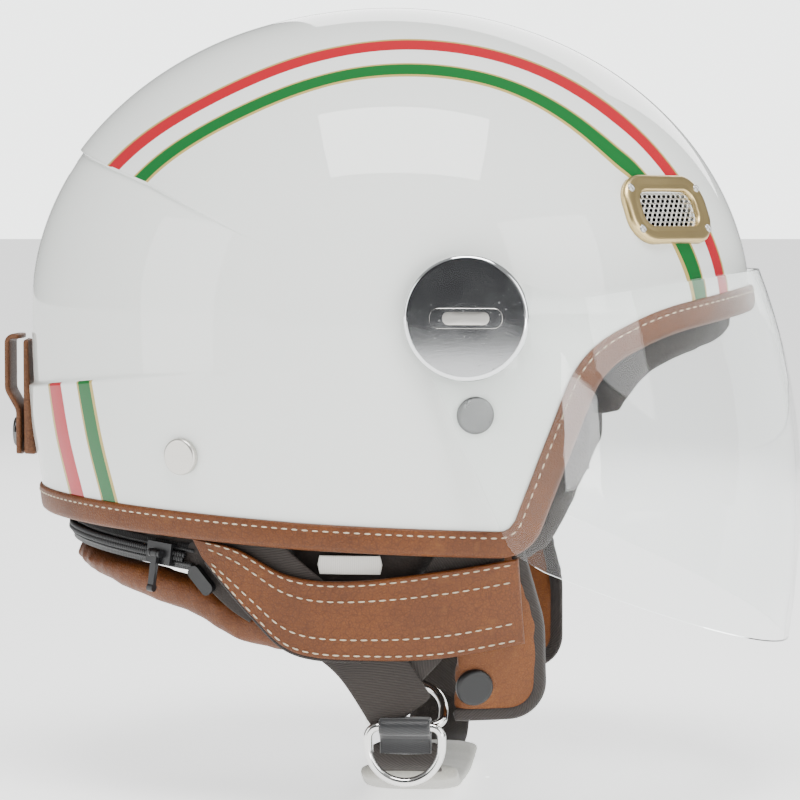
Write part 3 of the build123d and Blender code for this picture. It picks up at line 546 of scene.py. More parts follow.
def add_ribbons(piece, verts):
    """Stores how far each point lies across the tricolour ribbon, 0 at its upper edge and 1 at its
    lower one, and whether the ribbon is painted there."""
    x, y, z = verts[:, 0], abs(verts[:, 1]), verts[:, 2]
    upper = spline([(-150, 61), (-135, 64.5), (-99, 69), (-59, 63.2), (-22, 57), (22, 51.5), (60, 49.5),
                    (80, 47.5), (94, 42.0), (104, 38)], 200)
    lower = spline([(-150, 80), (-121, 83.2), (-87, 84.9), (-39, 78.8), (9, 73.2), (46, 72.4), (59, 69.6),
                    (73, 67.1), (85, 60.8), (104, 52)], 200)
    start, end = (np.interp(x, line[:, 0], line[:, 1]) for line in (upper, lower))
    top_lane = (y - start) / (end - start)
    bearing = np.degrees(np.arctan2(y, -(x - CENTRE_X)))
    rear_lane = (bearing - 24.3 + (z + 27) * 0.085) / 12.8
    rear = (z < -2) & (x < -60)
    on_band = rear & (z < np.interp(x, *BAND_LINE.T))
    on_crown = ~rear & ((x > -60) | (z > np.interp(x, *CROWN_LINE.T)))
    lanes, painted = np.where(rear, rear_lane, top_lane), (on_band | on_crown) * 1.0
    for name, values in (("lane", lanes), ("ribbon", painted)):
        layer = piece.data.attributes.new(name, "FLOAT", "POINT")
        layer.data.foreach_set("value", values.astype(np.float32))


def cut_holes(piece, cutters):
    """Cuts through the wall with closed forms that are thrown away afterwards."""
    for cutter in cutters:
        modifier = piece.modifiers.new("cut", "BOOLEAN")
        modifier.operation, modifier.solver, modifier.object = "DIFFERENCE", "EXACT", cutter
    bpy.context.view_layer.update()
    mesh = bpy.data.meshes.new_from_object(piece.evaluated_get(bpy.context.evaluated_depsgraph_get()))
    piece.modifiers.clear()
    piece.data = mesh
    for cutter in cutters:
        bpy.data.objects.remove(cutter)


# %% Planes for vents, rivets and snaps
def seat(x, z, inset=0.0, side=RIGHT):
    """Origin on the form, the level direction along it, the direction up it, and outwards."""
    origin = beside(x, z, inset, side)
    ahead = beside(x + 0.5, z, inset, side) - beside(x - 0.5, z, inset, side)
    up = beside(x, z + 0.5, inset, side) - beside(x, z - 0.5, inset, side)
    out = np.cross(up, ahead) * side
    out /= np.linalg.norm(out)
    level = np.cross([0, 0, 1.0], out)
    level /= np.linalg.norm(level)
    return origin, level, np.cross(out, level), out


def in_plane(plane, a, b, h):
    """Point a along the level direction, b up and h outwards."""
    origin, level, up, out = plane
    a, b, h = (np.asarray(v, float)[..., None] for v in (a, b, h))
    return origin + a * level + b * up + h * out


def slab(name, plane, outline, low, high):
    """Closed prism of an outline in a plane, from one height to another."""
    a, b = outline
    rows = [(0, low), (1, low), (1, high), (0, high)]
    return surface(name, np.stack([in_plane(plane, a * k, b * k, np.full_like(a, h)) for k, h in rows]),
                   close_columns=True)


def rounded_box(width, height, radius, count=64):
    """Outline of a rounded rectangle: a circle of the corner radius pushed out to the four corners."""
    t = (np.arange(count) + 0.5) * TURN / count
    c, s = np.cos(t), np.sin(t)
    return (np.sign(c) * (width / 2 - radius) + radius * c, np.sign(s) * (height / 2 - radius) + radius * s)


VENT = (71.2, 39.1)
VENT_WINDOW, VENT_OUTLINE = (31, 14, 5), (46, 27, 11)
REAR_SLOT_Z = 55.0
shell = outer_shell()
slot_plane = (np.array([-150.0, 0, REAR_SLOT_Z]), np.array([0, 1.0, 0]), np.array([0, 0, 1.0]),
              np.array([-1.0, 0, 0]))
holes = [slab("cut", seat(*VENT, side=s), rounded_box(*VENT_WINDOW), -9, 9) for s in (LEFT, RIGHT)]
holes.append(slab("cut", slot_plane, rounded_box(44, 5, 2.45), -20, 40))
cut_holes(shell, holes)
settle(shell, "root", "shell_paint", "outer_shell", finish=PAINT)

# %% [markdown]
# The edge trim is a strip of hide folded round the rim and sewn through. It is one closed section, a
# flattened U, carried round the same columns as the shell, so it sits on both walls without a gap. The
# stitches are real short rods that dip into the leather at both ends.

# %% Sections carried round the form
def carried(name, profile, angles):
    """Closed section of (rise square to the rim line, inset) pairs at every plan angle."""
    points = [around(angles, height_on(beyond_rim(rise), angles, depth), depth) for rise, depth in profile]
    return surface(name, np.stack(points, 1), close_rows=True, close_columns=True)


STITCH_SIDES = 6


def stitches(name, path, out, length=2.9, gap=0.95, radius=0.3, sink=0.16, sections=5):
    """Row of short rods: each runs along the path, rises from the leather, arcs over and dips back."""
    run = np.concatenate([[0], np.cumsum(np.linalg.norm(np.diff(path, axis=0), axis=1))])
    count = max(1, int((run[-1] + gap) / (length + gap)))
    starts = np.arange(count) * (length + gap) + (run[-1] + gap - count * (length + gap)) / 2
    s = np.linspace(0, 1, sections)
    at = np.clip(starts[:, None] + s[None] * length, 0, run[-1])
    lift = (np.sin(s * np.pi) * (radius * 0.9 + sink) - sink)[None, :, None]
    centre = np.stack([np.interp(at, run, path[:, k]) for k in range(3)], -1)
    normal = np.stack([np.interp(at, run, out[:, k]) for k in range(3)], -1)
    normal /= np.linalg.norm(normal, axis=-1, keepdims=True)
    centre = centre + normal * lift
    ahead = np.gradient(centre, axis=1)
    ahead /= np.linalg.norm(ahead, axis=-1, keepdims=True)
    side = np.cross(ahead, normal)
    t = np.arange(STITCH_SIDES) * TURN / STITCH_SIDES
    width = (radius * (0.35 + 0.65 * np.sin(s * np.pi) ** 0.5))[None, :, None, None]
    turned = side[:, :, None] * np.cos(t)[:, None] + normal[:, :, None] * np.sin(t)[:, None]
    ring = centre[:, :, None] + width * turned
    one = quads(sections, STITCH_SIDES, close_columns=True)
    ends = np.array([[0, 5, 4, 3], [3, 2, 1, 0]])
    ends = np.concatenate([ends, ends[:, ::-1] + (sections - 1) * STITCH_SIDES])
    first = np.arange(count)[:, None, None] * sections * STITCH_SIDES
    faces = (np.concatenate([one, ends])[None] + first).reshape(-1, 4)
    uv = np.stack([np.repeat(at.ravel(), STITCH_SIDES), np.tile(t * radius, count * sections)], -1)
    return made(name, ring, faces, uv)


def over_rim(angles, rise, inset):
    """Path on the form a fixed rise over the rim, with its outward directions."""
    z = height_on(beyond_rim(rise), angles, inset)
    path = around(angles, z, inset)
    out = around(angles, z, inset - 1) - around(angles, z, inset)
    return path, out


TRIM_SECTION = [(8.0, -0.05), (8.05, -0.7), (7.7, -1.35), (7.0, -1.75), (5.9, -1.72), (5.2, -1.62), (4.4, -1.75),
                (2.5, -1.8), (0.2, -1.8), (-0.9, -1.55), (-1.7, -0.7), (-2.0, 0.8), (-2.05, 2.0), (-2.0, 3.3),
                (-1.6, 4.7), (-0.8, 5.5), (0.5, 5.75), (3.5, 5.8), (6.6, 5.75), (7.5, 5.4), (7.95, 4.7), (7.95, 4.05),
                (4.0, 4.05), (0.15, 4.05), (-0.15, 3.6), (-0.2, 2.0), (-0.15, 0.3), (0.2, -0.05), (4.0, -0.05)]
trim = carried("edge_trim_leather", TRIM_SECTION, ROUND)
settle(trim, "root", "trim_leather", "edge_trim", finish=TAN)
closed_round = np.append(ROUND, ROUND[0] + TURN)
TRIM_SEAM = (5.6, -1.55)
seam = stitches("trim_stitches", *over_rim(closed_round, *TRIM_SEAM))
settle(seam, "root", "trim_leather", finish=THREAD)

# %% [markdown]
# Straps and bindings are flat sections carried along a route. On the helmet the route is drawn in side
# view and pressed onto the form. Where a strap hangs free, it follows a line in space. Both use the same
# rounded section, because woven edges are soft, never knife-sharp.

# %% Ribbons, straps and panels
def ribbon(name, route, width, outer, inner, side, points=18, squareness=5.0, ends=0.02):
    """Flat closed band along a side-view route, between two insets."""
    line = np.asarray(route, float)
    ahead = tangents(line)
    over = np.stack([-ahead[:, 1], ahead[:, 0]], -1)
    c, s = pill(points, squareness)
    size = round_off(np.linspace(0, 1, len(line)), ends)[:, None]
    place = line[:, None] + over[:, None] * (c * width / 2 * size)[..., None]
    inset = (outer + inner) / 2 - s * (inner - outer) / 2 * size
    return surface(name, beside(place[..., 0], place[..., 1], inset, side), close_columns=True)


def strap(name, line, over, width, thick, points=18, squareness=6.0, ends=0.01, swell=1.0):
    """Flat closed band along a line in space: its width runs over, its thickness square to both."""
    line, over = np.asarray(line, float), np.asarray(over, float)
    out = np.cross(tangents(line), over)
    c, s = pill(points, squareness)
    size = round_off(np.linspace(0, 1, len(line)), ends)[:, None, None]
    half = np.broadcast_to(swell, (len(line),))[:, None, None] * thick / 2
    points = line[:, None] + size * (c[:, None] * width / 2 * over + s[:, None] * half * out[:, None])
    return surface(name, points, close_columns=True)


def panel(name, place, outer, inner, side, columns=70, rows=34, reach=(0.06, 0.1), crown=0.0):
    """Closed pad: place(s, t) gives its side view, and each face leaves the middle inset by half the
    thickness, rounded off at all four borders and crowned towards the centre."""
    s, t = np.meshgrid(crowded(columns), crowded(rows), indexing="ij")
    x, z = place(s, t)
    outer, inner = (f(x, z) if callable(f) else f for f in (outer, inner))
    size = round_off(s, reach[0]) * round_off(t, reach[1])
    full = 1 - crown + crown * np.sin(np.pi * s) * np.sin(np.pi * t)
    middle, half = (outer + inner) / 2, (inner - outer) / 2
    front = beside(x, z, middle - half * size * full, side)
    back = beside(x, z, middle + half * size * full, side)
    return surface(name, np.concatenate([front, back[:, ::-1]], 1), close_columns=True)


def roll(name, angles, low, high, outer, inner, squareness=2.6, points=36, ends=0.04):
    """Closed roll round the form: a rounded section between two side-view lines and two insets."""
    c, s = pill(points, squareness)
    size = round_off(np.linspace(0, 1, len(angles)), ends)[:, None]
    middle = (outer + inner) / 2
    bottom, top = (height_on(line, angles, middle)[:, None] for line in (low, high))
    z = (bottom + top) / 2 + s * (top - bottom) / 2 * size
    inset = middle - c * (inner - outer) / 2 * size
    return surface(name, around(angles[:, None], z, inset), close_columns=True)


def on_side(route, inset, side):
    """Path of a side-view route on the form, with its outward directions."""
    x, z = np.asarray(route, float).T
    return beside(x, z, inset, side), beside(x, z, inset - 1, side) - beside(x, z, inset, side)


# %% [markdown]
# Padding shows in how a cover pulls tight over what fills it. A real cushion is blown up by its foam, so
# the pads are blown up by Blender's cloth: the pad is remeshed evenly, pressed from inside for 20 frames
# with gravity off, held to a few millimetres of movement, and smoothed once.

# %% Padding by cloth pressure
PRESSURE, PRESSED_FRAMES = 4.0, 20


def puffed(piece, most, voxel=4.5):
    """Swells a closed pad by cloth pressure, moving no point further than most millimetres."""
    finish = list(piece.data.materials)
    grid = piece.modifiers.new("even", "REMESH")
    grid.mode, grid.voxel_size = "VOXEL", voxel * MM
    bpy.context.view_layer.update()
    piece.data = bpy.data.meshes.new_from_object(piece.evaluated_get(bpy.context.evaluated_depsgraph_get()))
    piece.modifiers.clear()
    start = np.array([v.co for v in piece.data.vertices])
    cloth = piece.modifiers.new("pressure", "CLOTH")
    cloth.settings.use_pressure, cloth.settings.uniform_pressure_force = True, PRESSURE
    cloth.settings.effector_weights.gravity = 0.0
    cloth.settings.quality = 4
    cloth.point_cache.frame_end = PRESSED_FRAMES
    for frame_number in range(1, PRESSED_FRAMES + 1):
        bpy.context.scene.frame_set(frame_number)
    swollen = piece.evaluated_get(bpy.context.evaluated_depsgraph_get()).to_mesh()
    moved = np.array([v.co for v in swollen.vertices]) - start
    far = np.linalg.norm(moved, axis=1, keepdims=True)
    moved *= np.minimum(1, most * MM / np.maximum(far, 1e-9))
    piece.modifiers.clear()
    piece.data.vertices.foreach_set("co", (start + moved).astype(np.float32).ravel())
    bpy.context.scene.frame_set(1)
    finer = piece.modifiers.new("finer", "SUBSURF")
    finer.levels = finer.render_levels = 1
    bpy.context.view_layer.update()
    piece.data = bpy.data.meshes.new_from_object(piece.evaluated_get(bpy.context.evaluated_depsgraph_get()))
    piece.modifiers.clear()
    piece.data.polygons.foreach_set("use_smooth", [True] * len(piece.data.polygons))
    for material in finish:
        piece.data.materials.append(material)
    return piece


# %% [markdown]
# Inside the helmet are the comfort lining, two cheek pads and the brow pad. The cheek pads hook under
# the foam liner, so their outer face starts close to the shell below the rim and steps in above it.

# %% Lining and pads
OVER_LINER = beyond_rim(9.6)
PAD_LOW = beyond_rim(-8.4)


def lining_line(x):
    return np.where(x < -73, OVER_LINER(x), np.maximum(OVER_LINER(x), -10.6))


def crown_lining():
    """Quilted dome: two layers from the lining's edge to the crown, the inner one dimpled by channels."""
    angles = np.linspace(0, TURN, 180, endpoint=False)
    t = np.linspace(0, 1, 60)[:, None]
    layers = []
    for inset in (32.5, 38.3):
        low = climb(height_on(lining_line, angles, inset))
        top = HEIGHT * np.pi / 2
        z = np.minimum(height_of(low * (1 - t) + t * top), HEIGHT - inset)
        channels = abs(np.sin(angles * 9)[None] * np.sin(t * 14)) ** 0.35
        quilt = channels * 1.5 * round_off(t, 0.05) if inset > 35 else 0
        depth = inset + quilt - 1.2 * (inset > 35)
        layers.append(around(angles[None], np.minimum(z, HEIGHT - inset - quilt), depth))
    return surface("crown_lining_quilt", np.concatenate([layers[0][::-1], layers[1]]), close_columns=True)


settle(crown_lining(), "root", "pad_fabric", "crown_lining", finish=PAD, fill=0.4)


def cheek_place(s, t):
    x = -71.5 + s * 115
    low = -103.0 + (PAD_LOW(x) + 103.0) * smooth(x, -26, -8)
    return x, low + t * (-12.5 - low)


def cheek_outer(x, z):
    return 12.2 + 20.6 * smooth(z - rim(x), 3.0, 8.5)


def cheek_inner(x, z):
    return 45.5 - 26.5 * smooth(rim(x) - z, 5, 14)


for side, word in ((RIGHT, "right"), (LEFT, "left")):
    pad = panel(f"cheek_pad_{word}_cushion", cheek_place, cheek_outer, cheek_inner, side, 70, 50,
                (0.10, 0.12), 0.12)
    pad.data.materials.append(PAD)
    settle(puffed(pad, 2.0), "root", "pad_fabric", f"cheek_pad_{word}", finish=PAD, fill=0.7)
brow_angles = np.linspace(-0.80, 0.80, 90)
brow = roll("brow_pad_roll", brow_angles, PAD_LOW, beyond_rim(7.4), 7.4, 37.5, 3.2, 40, 0.06)
brow.data.materials.append(PAD)
settle(puffed(brow, 1.6), "root", "pad_fabric", "brow_pad", finish=PAD, fill=0.7)

# %% [markdown]
# The neck roll is a leather covered tube of foam at the back, sewn to the gusset. The gusset is a strip
# of brown fabric that the zip joins to it.

# %% Neck roll and gusset
ROLL_TOP = np.array([(-190, -86.5), (-164, -89.4), (-122, -94.3), (-103, -97.5), (-85, -108),
                     (-58, -112)], float)
ROLL_LOW = np.array([(-190, -97), (-166, -98.5), (-146, -101.7), (-127, -107.5), (-102, -114), (-94, -119),
                     (-86, -123), (-72, -125.3), (-58, -126.5)], float)


def roll_line(line, shift):
    return lambda x: np.interp(x, *line.T) + shift


neck_angles = np.linspace(np.radians(99.5), np.radians(260.5), 220)
neck = roll("neck_roll_tube", neck_angles, roll_line(ROLL_LOW, 0.6), roll_line(ROLL_TOP, -0.6),
            8.9, 23.6, 2.4, 32, 0.03)
neck.data.materials.append(TAN)
settle(puffed(neck, 1.4, 4.0), "root", "trim_leather", "neck_roll", finish=TAN, fill=0.75)

ZIP_R, ZIP_TILT = 95.7, np.radians(6.7)
ZIP_O = np.array([-68.7, 0, -94.6])
ZIP_BACK = np.array([-np.cos(ZIP_TILT), 0, np.sin(ZIP_TILT)])
ZIP_UP = np.array([np.sin(ZIP_TILT), 0, np.cos(ZIP_TILT)])


def on_zip(bearing, radius, height):
    """Point round the zip's axis: bearing from the back, towards the rider's right, in radians."""
    bearing, radius, height = (np.asarray(v, float)[..., None] for v in (bearing, radius, height))
    out = np.cos(bearing) * ZIP_BACK + np.sin(bearing) * np.array([0, -1.0, 0])
    return ZIP_O + radius * out + height * ZIP_UP


TAPE_BACK = 93.55
bearing, lift = np.linspace(-1.22, 1.22, 200)[:, None], np.linspace(-3.8, 12.3, 16)[None]
ripple = 0.35 * np.sin(bearing * 46 + lift * 0.25) * smooth(lift, -2, 6)
hung = on_zip(bearing, TAPE_BACK - 0.55 + ripple, lift + 0 * bearing)
gusset = surface("neck_gusset_cloth", hung, solid=False)
wall = gusset.modifiers.new("wall", "SOLIDIFY")
wall.thickness, wall.offset = 0.8 * MM, 0
settle(gusset, "root", "pad_fabric", "neck_gusset", finish=GUSSET)
CORNER = spline([(-106, -85.5), (-97, -95), (-87, -104), (-79, -109)], 60)
for side, word in ((RIGHT, "right"), (LEFT, "left")):
    corner = ribbon(f"neck_gusset_corner_{word}", CORNER, 12, 9.8, 10.6, side, 16, 5)
    settle(corner, "root", "pad_fabric", finish=GUSSET)

# %% [markdown]
# A coil zip is two woven tapes and a row of teeth that mesh from both sides. The tapes are thin bands
# with a raised edge, and each tooth is a small rounded block, shifted by half a pitch on one side.

# %% Zip
TAPE_END = 1.186


def zip_band(name, heights, radii):
    """Closed band round the zip's axis from a section of heights and radii."""
    turn = np.linspace(-TAPE_END, TAPE_END, 240)[:, None]
    return surface(name, on_zip(turn, np.array(radii)[None] + 0 * turn, np.array(heights)[None] + 0 * turn),
                   close_columns=True)


BLOCK_POINTS, BLOCK_RINGS = 8, 5


def block_row(name, frames, size):
    """Rounded blocks: at each origin, with three directions, a superellipse of the given size."""
    origin, a, b, c = frames
    t, r = np.arange(BLOCK_POINTS) * TURN / BLOCK_POINTS, np.linspace(-1, 1, BLOCK_RINGS)
    c0, s0 = (np.sign(f(t)) * abs(f(t)) ** 0.6 for f in (np.cos, np.sin))
    wide = (1 - abs(r) ** 3) ** 0.4 + 0.25 * (abs(r) < 1)
    unit = np.stack(np.broadcast_arrays(c0[None] * wide[:, None], s0[None] * wide[:, None], r[:, None]), -1)
    unit = unit.reshape(-1, 3) * size
    along, over, up = unit[None, :, :1], unit[None, :, 1:2], unit[None, :, 2:]
    verts = origin[:, None] + along * a[:, None] + over * b[:, None] + up * c[:, None]
    one = quads(BLOCK_RINGS, BLOCK_POINTS, close_columns=True)
    faces = (one[None] + np.arange(len(origin))[:, None, None] * BLOCK_POINTS * BLOCK_RINGS).reshape(-1, 4)
    return weld(made(name, verts, faces, verts.reshape(-1, 3)[:, :2]), 0.02)


for word, side in (("upper", 1), ("lower", -1)):
    heights = side * np.array([1.9, 2.2, 2.7, 3.1, 3.5, 4.75, 4.75, 1.9])
    radii = TAPE_BACK + np.array([1.0, 1.7, 2.1, 1.7, 1.05, 0.95, 0.05, 0.05])
    band = zip_band(f"zip_tape_{word}", heights, radii)
    nodes = ("zip_tape",) if side > 0 else ()
    settle(band, "root", "zip_fabric", *nodes, finish=TAPE)
TOOTH_PITCH, TEETH_END = np.radians(0.66), 1.15
teeth = np.arange(-TEETH_END, TEETH_END, TOOTH_PITCH)
for word, side in (("upper", 1), ("lower", -1)):
    turn = teeth + (side > 0) * TOOTH_PITCH / 2
    origin = on_zip(turn, 0 * turn + ZIP_R + 0.1, 0 * turn + side * 0.75)
    ahead = np.stack([np.sin(turn) * np.cos(ZIP_TILT), -np.cos(turn), -np.sin(turn) * np.sin(ZIP_TILT)], -1)
    out = on_zip(turn, 0 * turn + 1.0, 0 * turn) - ZIP_O
    frames = (origin, ahead, out, np.broadcast_to(ZIP_UP, ahead.shape))
    row = block_row(f"zip_teeth_{word}", frames, (0.45, 0.9, 1.5))
    settle(row, "root", "black_nylon", *(("zip_chain",) if side > 0 else ()), finish=ZIP_PLASTIC)

# %% [markdown]
# Each ear flap is a padded leather panel, bound along its front and bottom with twill and pressed shut
# with a snap. A stitched leather band wraps over its top and carries the webbing, with four rows of
# thread: one inside each edge and two that hold the webbing's channel.

# %% Ear flaps, bands and bindings
FLAP_EDGE = even(rounded([(17.2, -81), (25.7, -114), (26.2, -150), (-7.5, -150)], [40, 13], 16), 90)


def flap_place(s, t):
    """Columns from the rear edge to the front, each between the bound edge's bottom and top."""
    x = -7.3 + s * 33.2
    corner = np.clip((x - 13.0) / 13.1, 0, 1)
    low = -149.6 + 13.0 * (1 - np.sqrt(np.clip(1 - corner**2, 0, 1)))
    top = np.where(x < 17.0, -84.0, -84.0 - (x - 17.0) * 3.65)
    return x, low + t * (top - low)


BAND_TOP = spline([(17.5, -88.6), (-8.6, -92.6), (-44, -96.6), (-66.6, -94.8), (-86, -85.6),
                   (-103.5, -82.4)], 160)
BAND_LOW = spline([(19.5, -120.7), (-9, -125.4), (-35, -126.4), (-64.5, -124), (-81, -110.4),
                   (-99.8, -89.2)], 160)


def band_line(share):
    """Line that share of the way from the band's lower edge to its upper one."""
    return even(BAND_LOW, 160) * (1 - share) + even(BAND_TOP, 160) * share


def band_place(s, t):
    low, top = even(BAND_LOW, 400), even(BAND_TOP, 400)
    at = s * 399
    lows, tops = (np.stack([np.interp(at, np.arange(400), line[:, k]) for k in (0, 1)], -1)
                  for line in (low, top))
    place = lows * (1 - t[..., None]) + tops * t[..., None]
    return place[..., 0], place[..., 1]


for side, word in ((RIGHT, "right"), (LEFT, "left")):
    flap = panel(f"ear_flap_{word}_pad", flap_place, 9.9, 15.8, side, 46, 60, (0.06, 0.03), 0.1)
    flap.data.materials.append(TAN_PALE)
    settle(puffed(flap, 1.3, 2.4), "root", "trim_leather", f"ear_flap_{word}", finish=TAN_PALE, fill=0.5)
    ahead = tangents(FLAP_EDGE)
    middle = FLAP_EDGE + np.stack([ahead[:, 1], -ahead[:, 0]], -1) * 2.1
    binding = ribbon(f"flap_binding_{word}_twill", middle, 5.4, 9.0, 16.8, side, 20, 3.4, 0.01)
    settle(binding, "root", "webbing", f"flap_binding_{word}", finish=TWILL)
    band = panel(f"flap_band_{word}_leather", band_place, 3.2, 5.7, side, 170, 34, (0.008, 0.04))
    settle(band, "root", "trim_leather", f"flap_band_{word}", finish=TAN)
    for number, share in enumerate((0.06, 0.26, 0.74, 0.94)):
        line = even(band_line(share)[3:-6], 400)
        row = stitches(f"band_stitches_{word}_{number}", *on_side(line, 3.25, side))
        settle(row, "root", "trim_leather", finish=THREAD)
    edge = even(band_line(-0.012)[70:-2], 120)
    piping = ribbon(f"band_piping_{word}", edge, 1.7, 3.9, 6.4, side, 12, 2.2, 0.01)
    settle(piping, "root", "webbing", finish=TWILL)

# %% [markdown]
# The retention straps are narrow webbing. Two legs on each side run from a rivet under the rim down to
# the buckle. On the rider's right they end at two D-rings held by a satin keeper, and from there the
# chin strap crosses to the left, inside a soft sleeve.

# %% Straps, keeper, chin strap and label
WEBBING_WIDTH = 25
LABEL_LINE = even(np.array([(-56, -91.0), (-32, -91.0)]), 30)
REAR_LEG = spline([(-107, -49), (-84, -85), (-61, -107), (-40, -124), (-24.5, -148.2)], 140)
FRONT_LEG = spline([(2.5, -33), (2.2, -60), (-1, -90), (-16, -113), (-30, -129)], 120)
for side, word in ((RIGHT, "right"), (LEFT, "left")):
    rear = ribbon(f"strap_rear_{word}_webbing", REAR_LEG, WEBBING_WIDTH, 6.2, 7.6, side, 20, 6)
    settle(rear, "root", "webbing", f"strap_rear_{word}", finish=WEBBING)
    front = ribbon(f"strap_front_{word}_webbing", FRONT_LEG, WEBBING_WIDTH, 7.8, 9.2, side, 20, 6)
    settle(front, "root", "webbing", f"strap_front_{word}", finish=WEBBING)
    tag = ribbon(f"size_label_{word}_tag", LABEL_LINE, 7, 8.4, 9.3, side, 12, 6)
    settle(tag, "root", "label_cloth", f"size_label_{word}", finish=COTTON)

BAR_X, BAR_Y, BAR_Z, RING_PITCH = -24.5, -95.6, -151.5, 4.6
X_WAY = np.array([1.0, 0, 0])


def in_buckle(y, z):
    """Points in the plane through the middle of the buckle, square to the bars."""
    return np.stack(np.broadcast_arrays(BAR_X, y, z), -1)


turn = np.linspace(-0.5, 0.5, 30) * np.pi
loop_r = 3.3 / 2 + 0.8
tail_y = BAR_Y + RING_PITCH + 0.2
keeper_line = np.concatenate([
    np.array([(tail_y - 1.0, -162.3), (tail_y - 1.1, -157.0), (BAR_Y + 1.4, BAR_Z - loop_r - 0.9)]),
    np.stack([BAR_Y - loop_r * np.cos(turn), BAR_Z + loop_r * np.sin(turn)], -1),
    np.stack([BAR_Y + RING_PITCH + loop_r * np.cos(turn), BAR_Z - loop_r * np.sin(turn)], -1),
    np.array([(tail_y + 1.2, BAR_Z - loop_r - 1.5), (tail_y + 1.0, -157.0), (tail_y + 0.9, -162.3)])])
keeper_line = even(spline(keeper_line, 300), 90)
keeper = strap("ring_keeper_satin", in_buckle(keeper_line[:, 0], keeper_line[:, 1]), X_WAY, 19, 1.5, 16, 5)
settle(keeper, "root", "webbing", "ring_keeper", finish=SATIN)

CHIN = [(BAR_Y + RING_PITCH + 2.8, BAR_Z - 6.0), (-86, -167), (-62, -177), (0, -181), (62, -177),
        (86, -166), (95.8, -141)]
chin_line = even(rounded(CHIN, [9, 30, 300, 30, 9], 14), 220)
chin = strap("chin_strap_webbing", in_buckle(*chin_line.T), X_WAY, WEBBING_WIDTH, 1.4, 20, 6)
settle(chin, "root", "webbing", "chin_strap", finish=WEBBING)
sleeve_line = even(rounded([(-80, -169.5), (-62, -177), (0, -181), (40, -178.42)], [30, 300], 14), 120)
gathers = 1 + 0.10 * np.sin(np.linspace(0, 34, 120)) * np.sin(np.linspace(0, 5, 120))
sleeve = strap("chin_sleeve_suede", in_buckle(*sleeve_line.T), X_WAY, 36.5, 6.8, 30, 3.0, 0.04, gathers)
sleeve.data.materials.append(SUEDE)
settle(sleeve, "root", "sleeve_fabric", "chin_sleeve", finish=SUEDE, fill=0.4)

# %% [markdown]
# At the back a folded leather strap holds the band of a pair of goggles. Its base is sewn to the shell
# and its outer leaf opens at the fold.

# %% Goggle strap loop
def in_profile(x, z):
    return np.stack(np.broadcast_arrays(x, 0.0, z), -1)


Y_WAY = np.array([0, 1.0, 0])
leaf_line = rounded([(-184.6, -11), (-189.8, -11), (-189.8, -32), (-185.3, -40), (-185.3, -58)],
                    [2.5, 6, 6], 10)
leaf_line = even(leaf_line, 90)
leaf = strap("loop_leaf_leather", in_profile(leaf_line[:, 0], leaf_line[:, 1]), Y_WAY, 18, 2.2, 20, 5, 0.02)
settle(leaf, "strap_loop_leaf", "trim_leather", "loop_leaf", finish=BROWN)
z = np.linspace(-11.8, -58.2, 60)
c, s = pill(24, 5)
size = round_off(np.linspace(0, 1, 60), 0.03)[:, None]
y = 9 * c * size
shell_x = CENTRE_X - (HALF_LENGTH + 0.15) * np.sqrt(girth(z)[:, None] ** 2 - (y / HALF_WIDTH) ** 2) - STEP
middle, half = (shell_x - 183.4) / 2, (shell_x + 183.4) / 2 * size
base = np.stack(np.broadcast_arrays(middle + s * half, y, z[:, None]), -1)
base = surface("loop_base_leather", base, close_columns=True)
settle(base, "root", "trim_leather", "loop_base", finish=BROWN)

# %% [markdown]
# The brow vents are cast brass frames round an expanded metal mesh. The frame follows the curve of the
# shell, so its section is pushed out along the vent's own direction until it meets the form. The mesh is
# rows of flattened rings, every second row shifted by half a ring, which is how slit and pulled sheet
# looks.

# %% Brow vents
def onto(plane, a, b, inset):
    """Point of a plane moved along the plane's outward direction until it lies at an inset."""
    low, high = np.full(np.shape(a), -30.0), np.full(np.shape(a), 8.0)
    for _ in range(32):
        h = (low + high) / 2
        p = in_plane(plane, a, b, h)
        size = np.hypot((p[..., 0] - CENTRE_X) / (HALF_LENGTH - inset), p[..., 1] / (HALF_WIDTH - inset))
        within = size < girth(p[..., 2], inset)
        low, high = np.where(within, h, low), np.where(within, high, h)
    return in_plane(plane, a, b, (low + high) / 2)


def vent_frame(name, plane):
    """Closed section between the window and the outer outline, with rolled edges."""
    inner, outer = (np.array(rounded_box(*size, 96)) for size in (VENT_WINDOW, VENT_OUTLINE))
    section = [(0.0, -1.5), (0.0, 1.2), (0.06, 2.0), (0.16, 2.2), (0.30, 2.0), (0.42, 2.1), (0.62, 2.65),
               (0.78, 2.8), (0.9, 2.6), (0.98, 1.9), (1.0, 1.0), (1.0, -0.2), (0.6, -0.25), (0.2, -1.5)]
    rows = [onto(plane, *(inner + (outer - inner) * w), -h) for w, h in section]
    return surface(name, np.stack(rows), close_rows=True, close_columns=True)


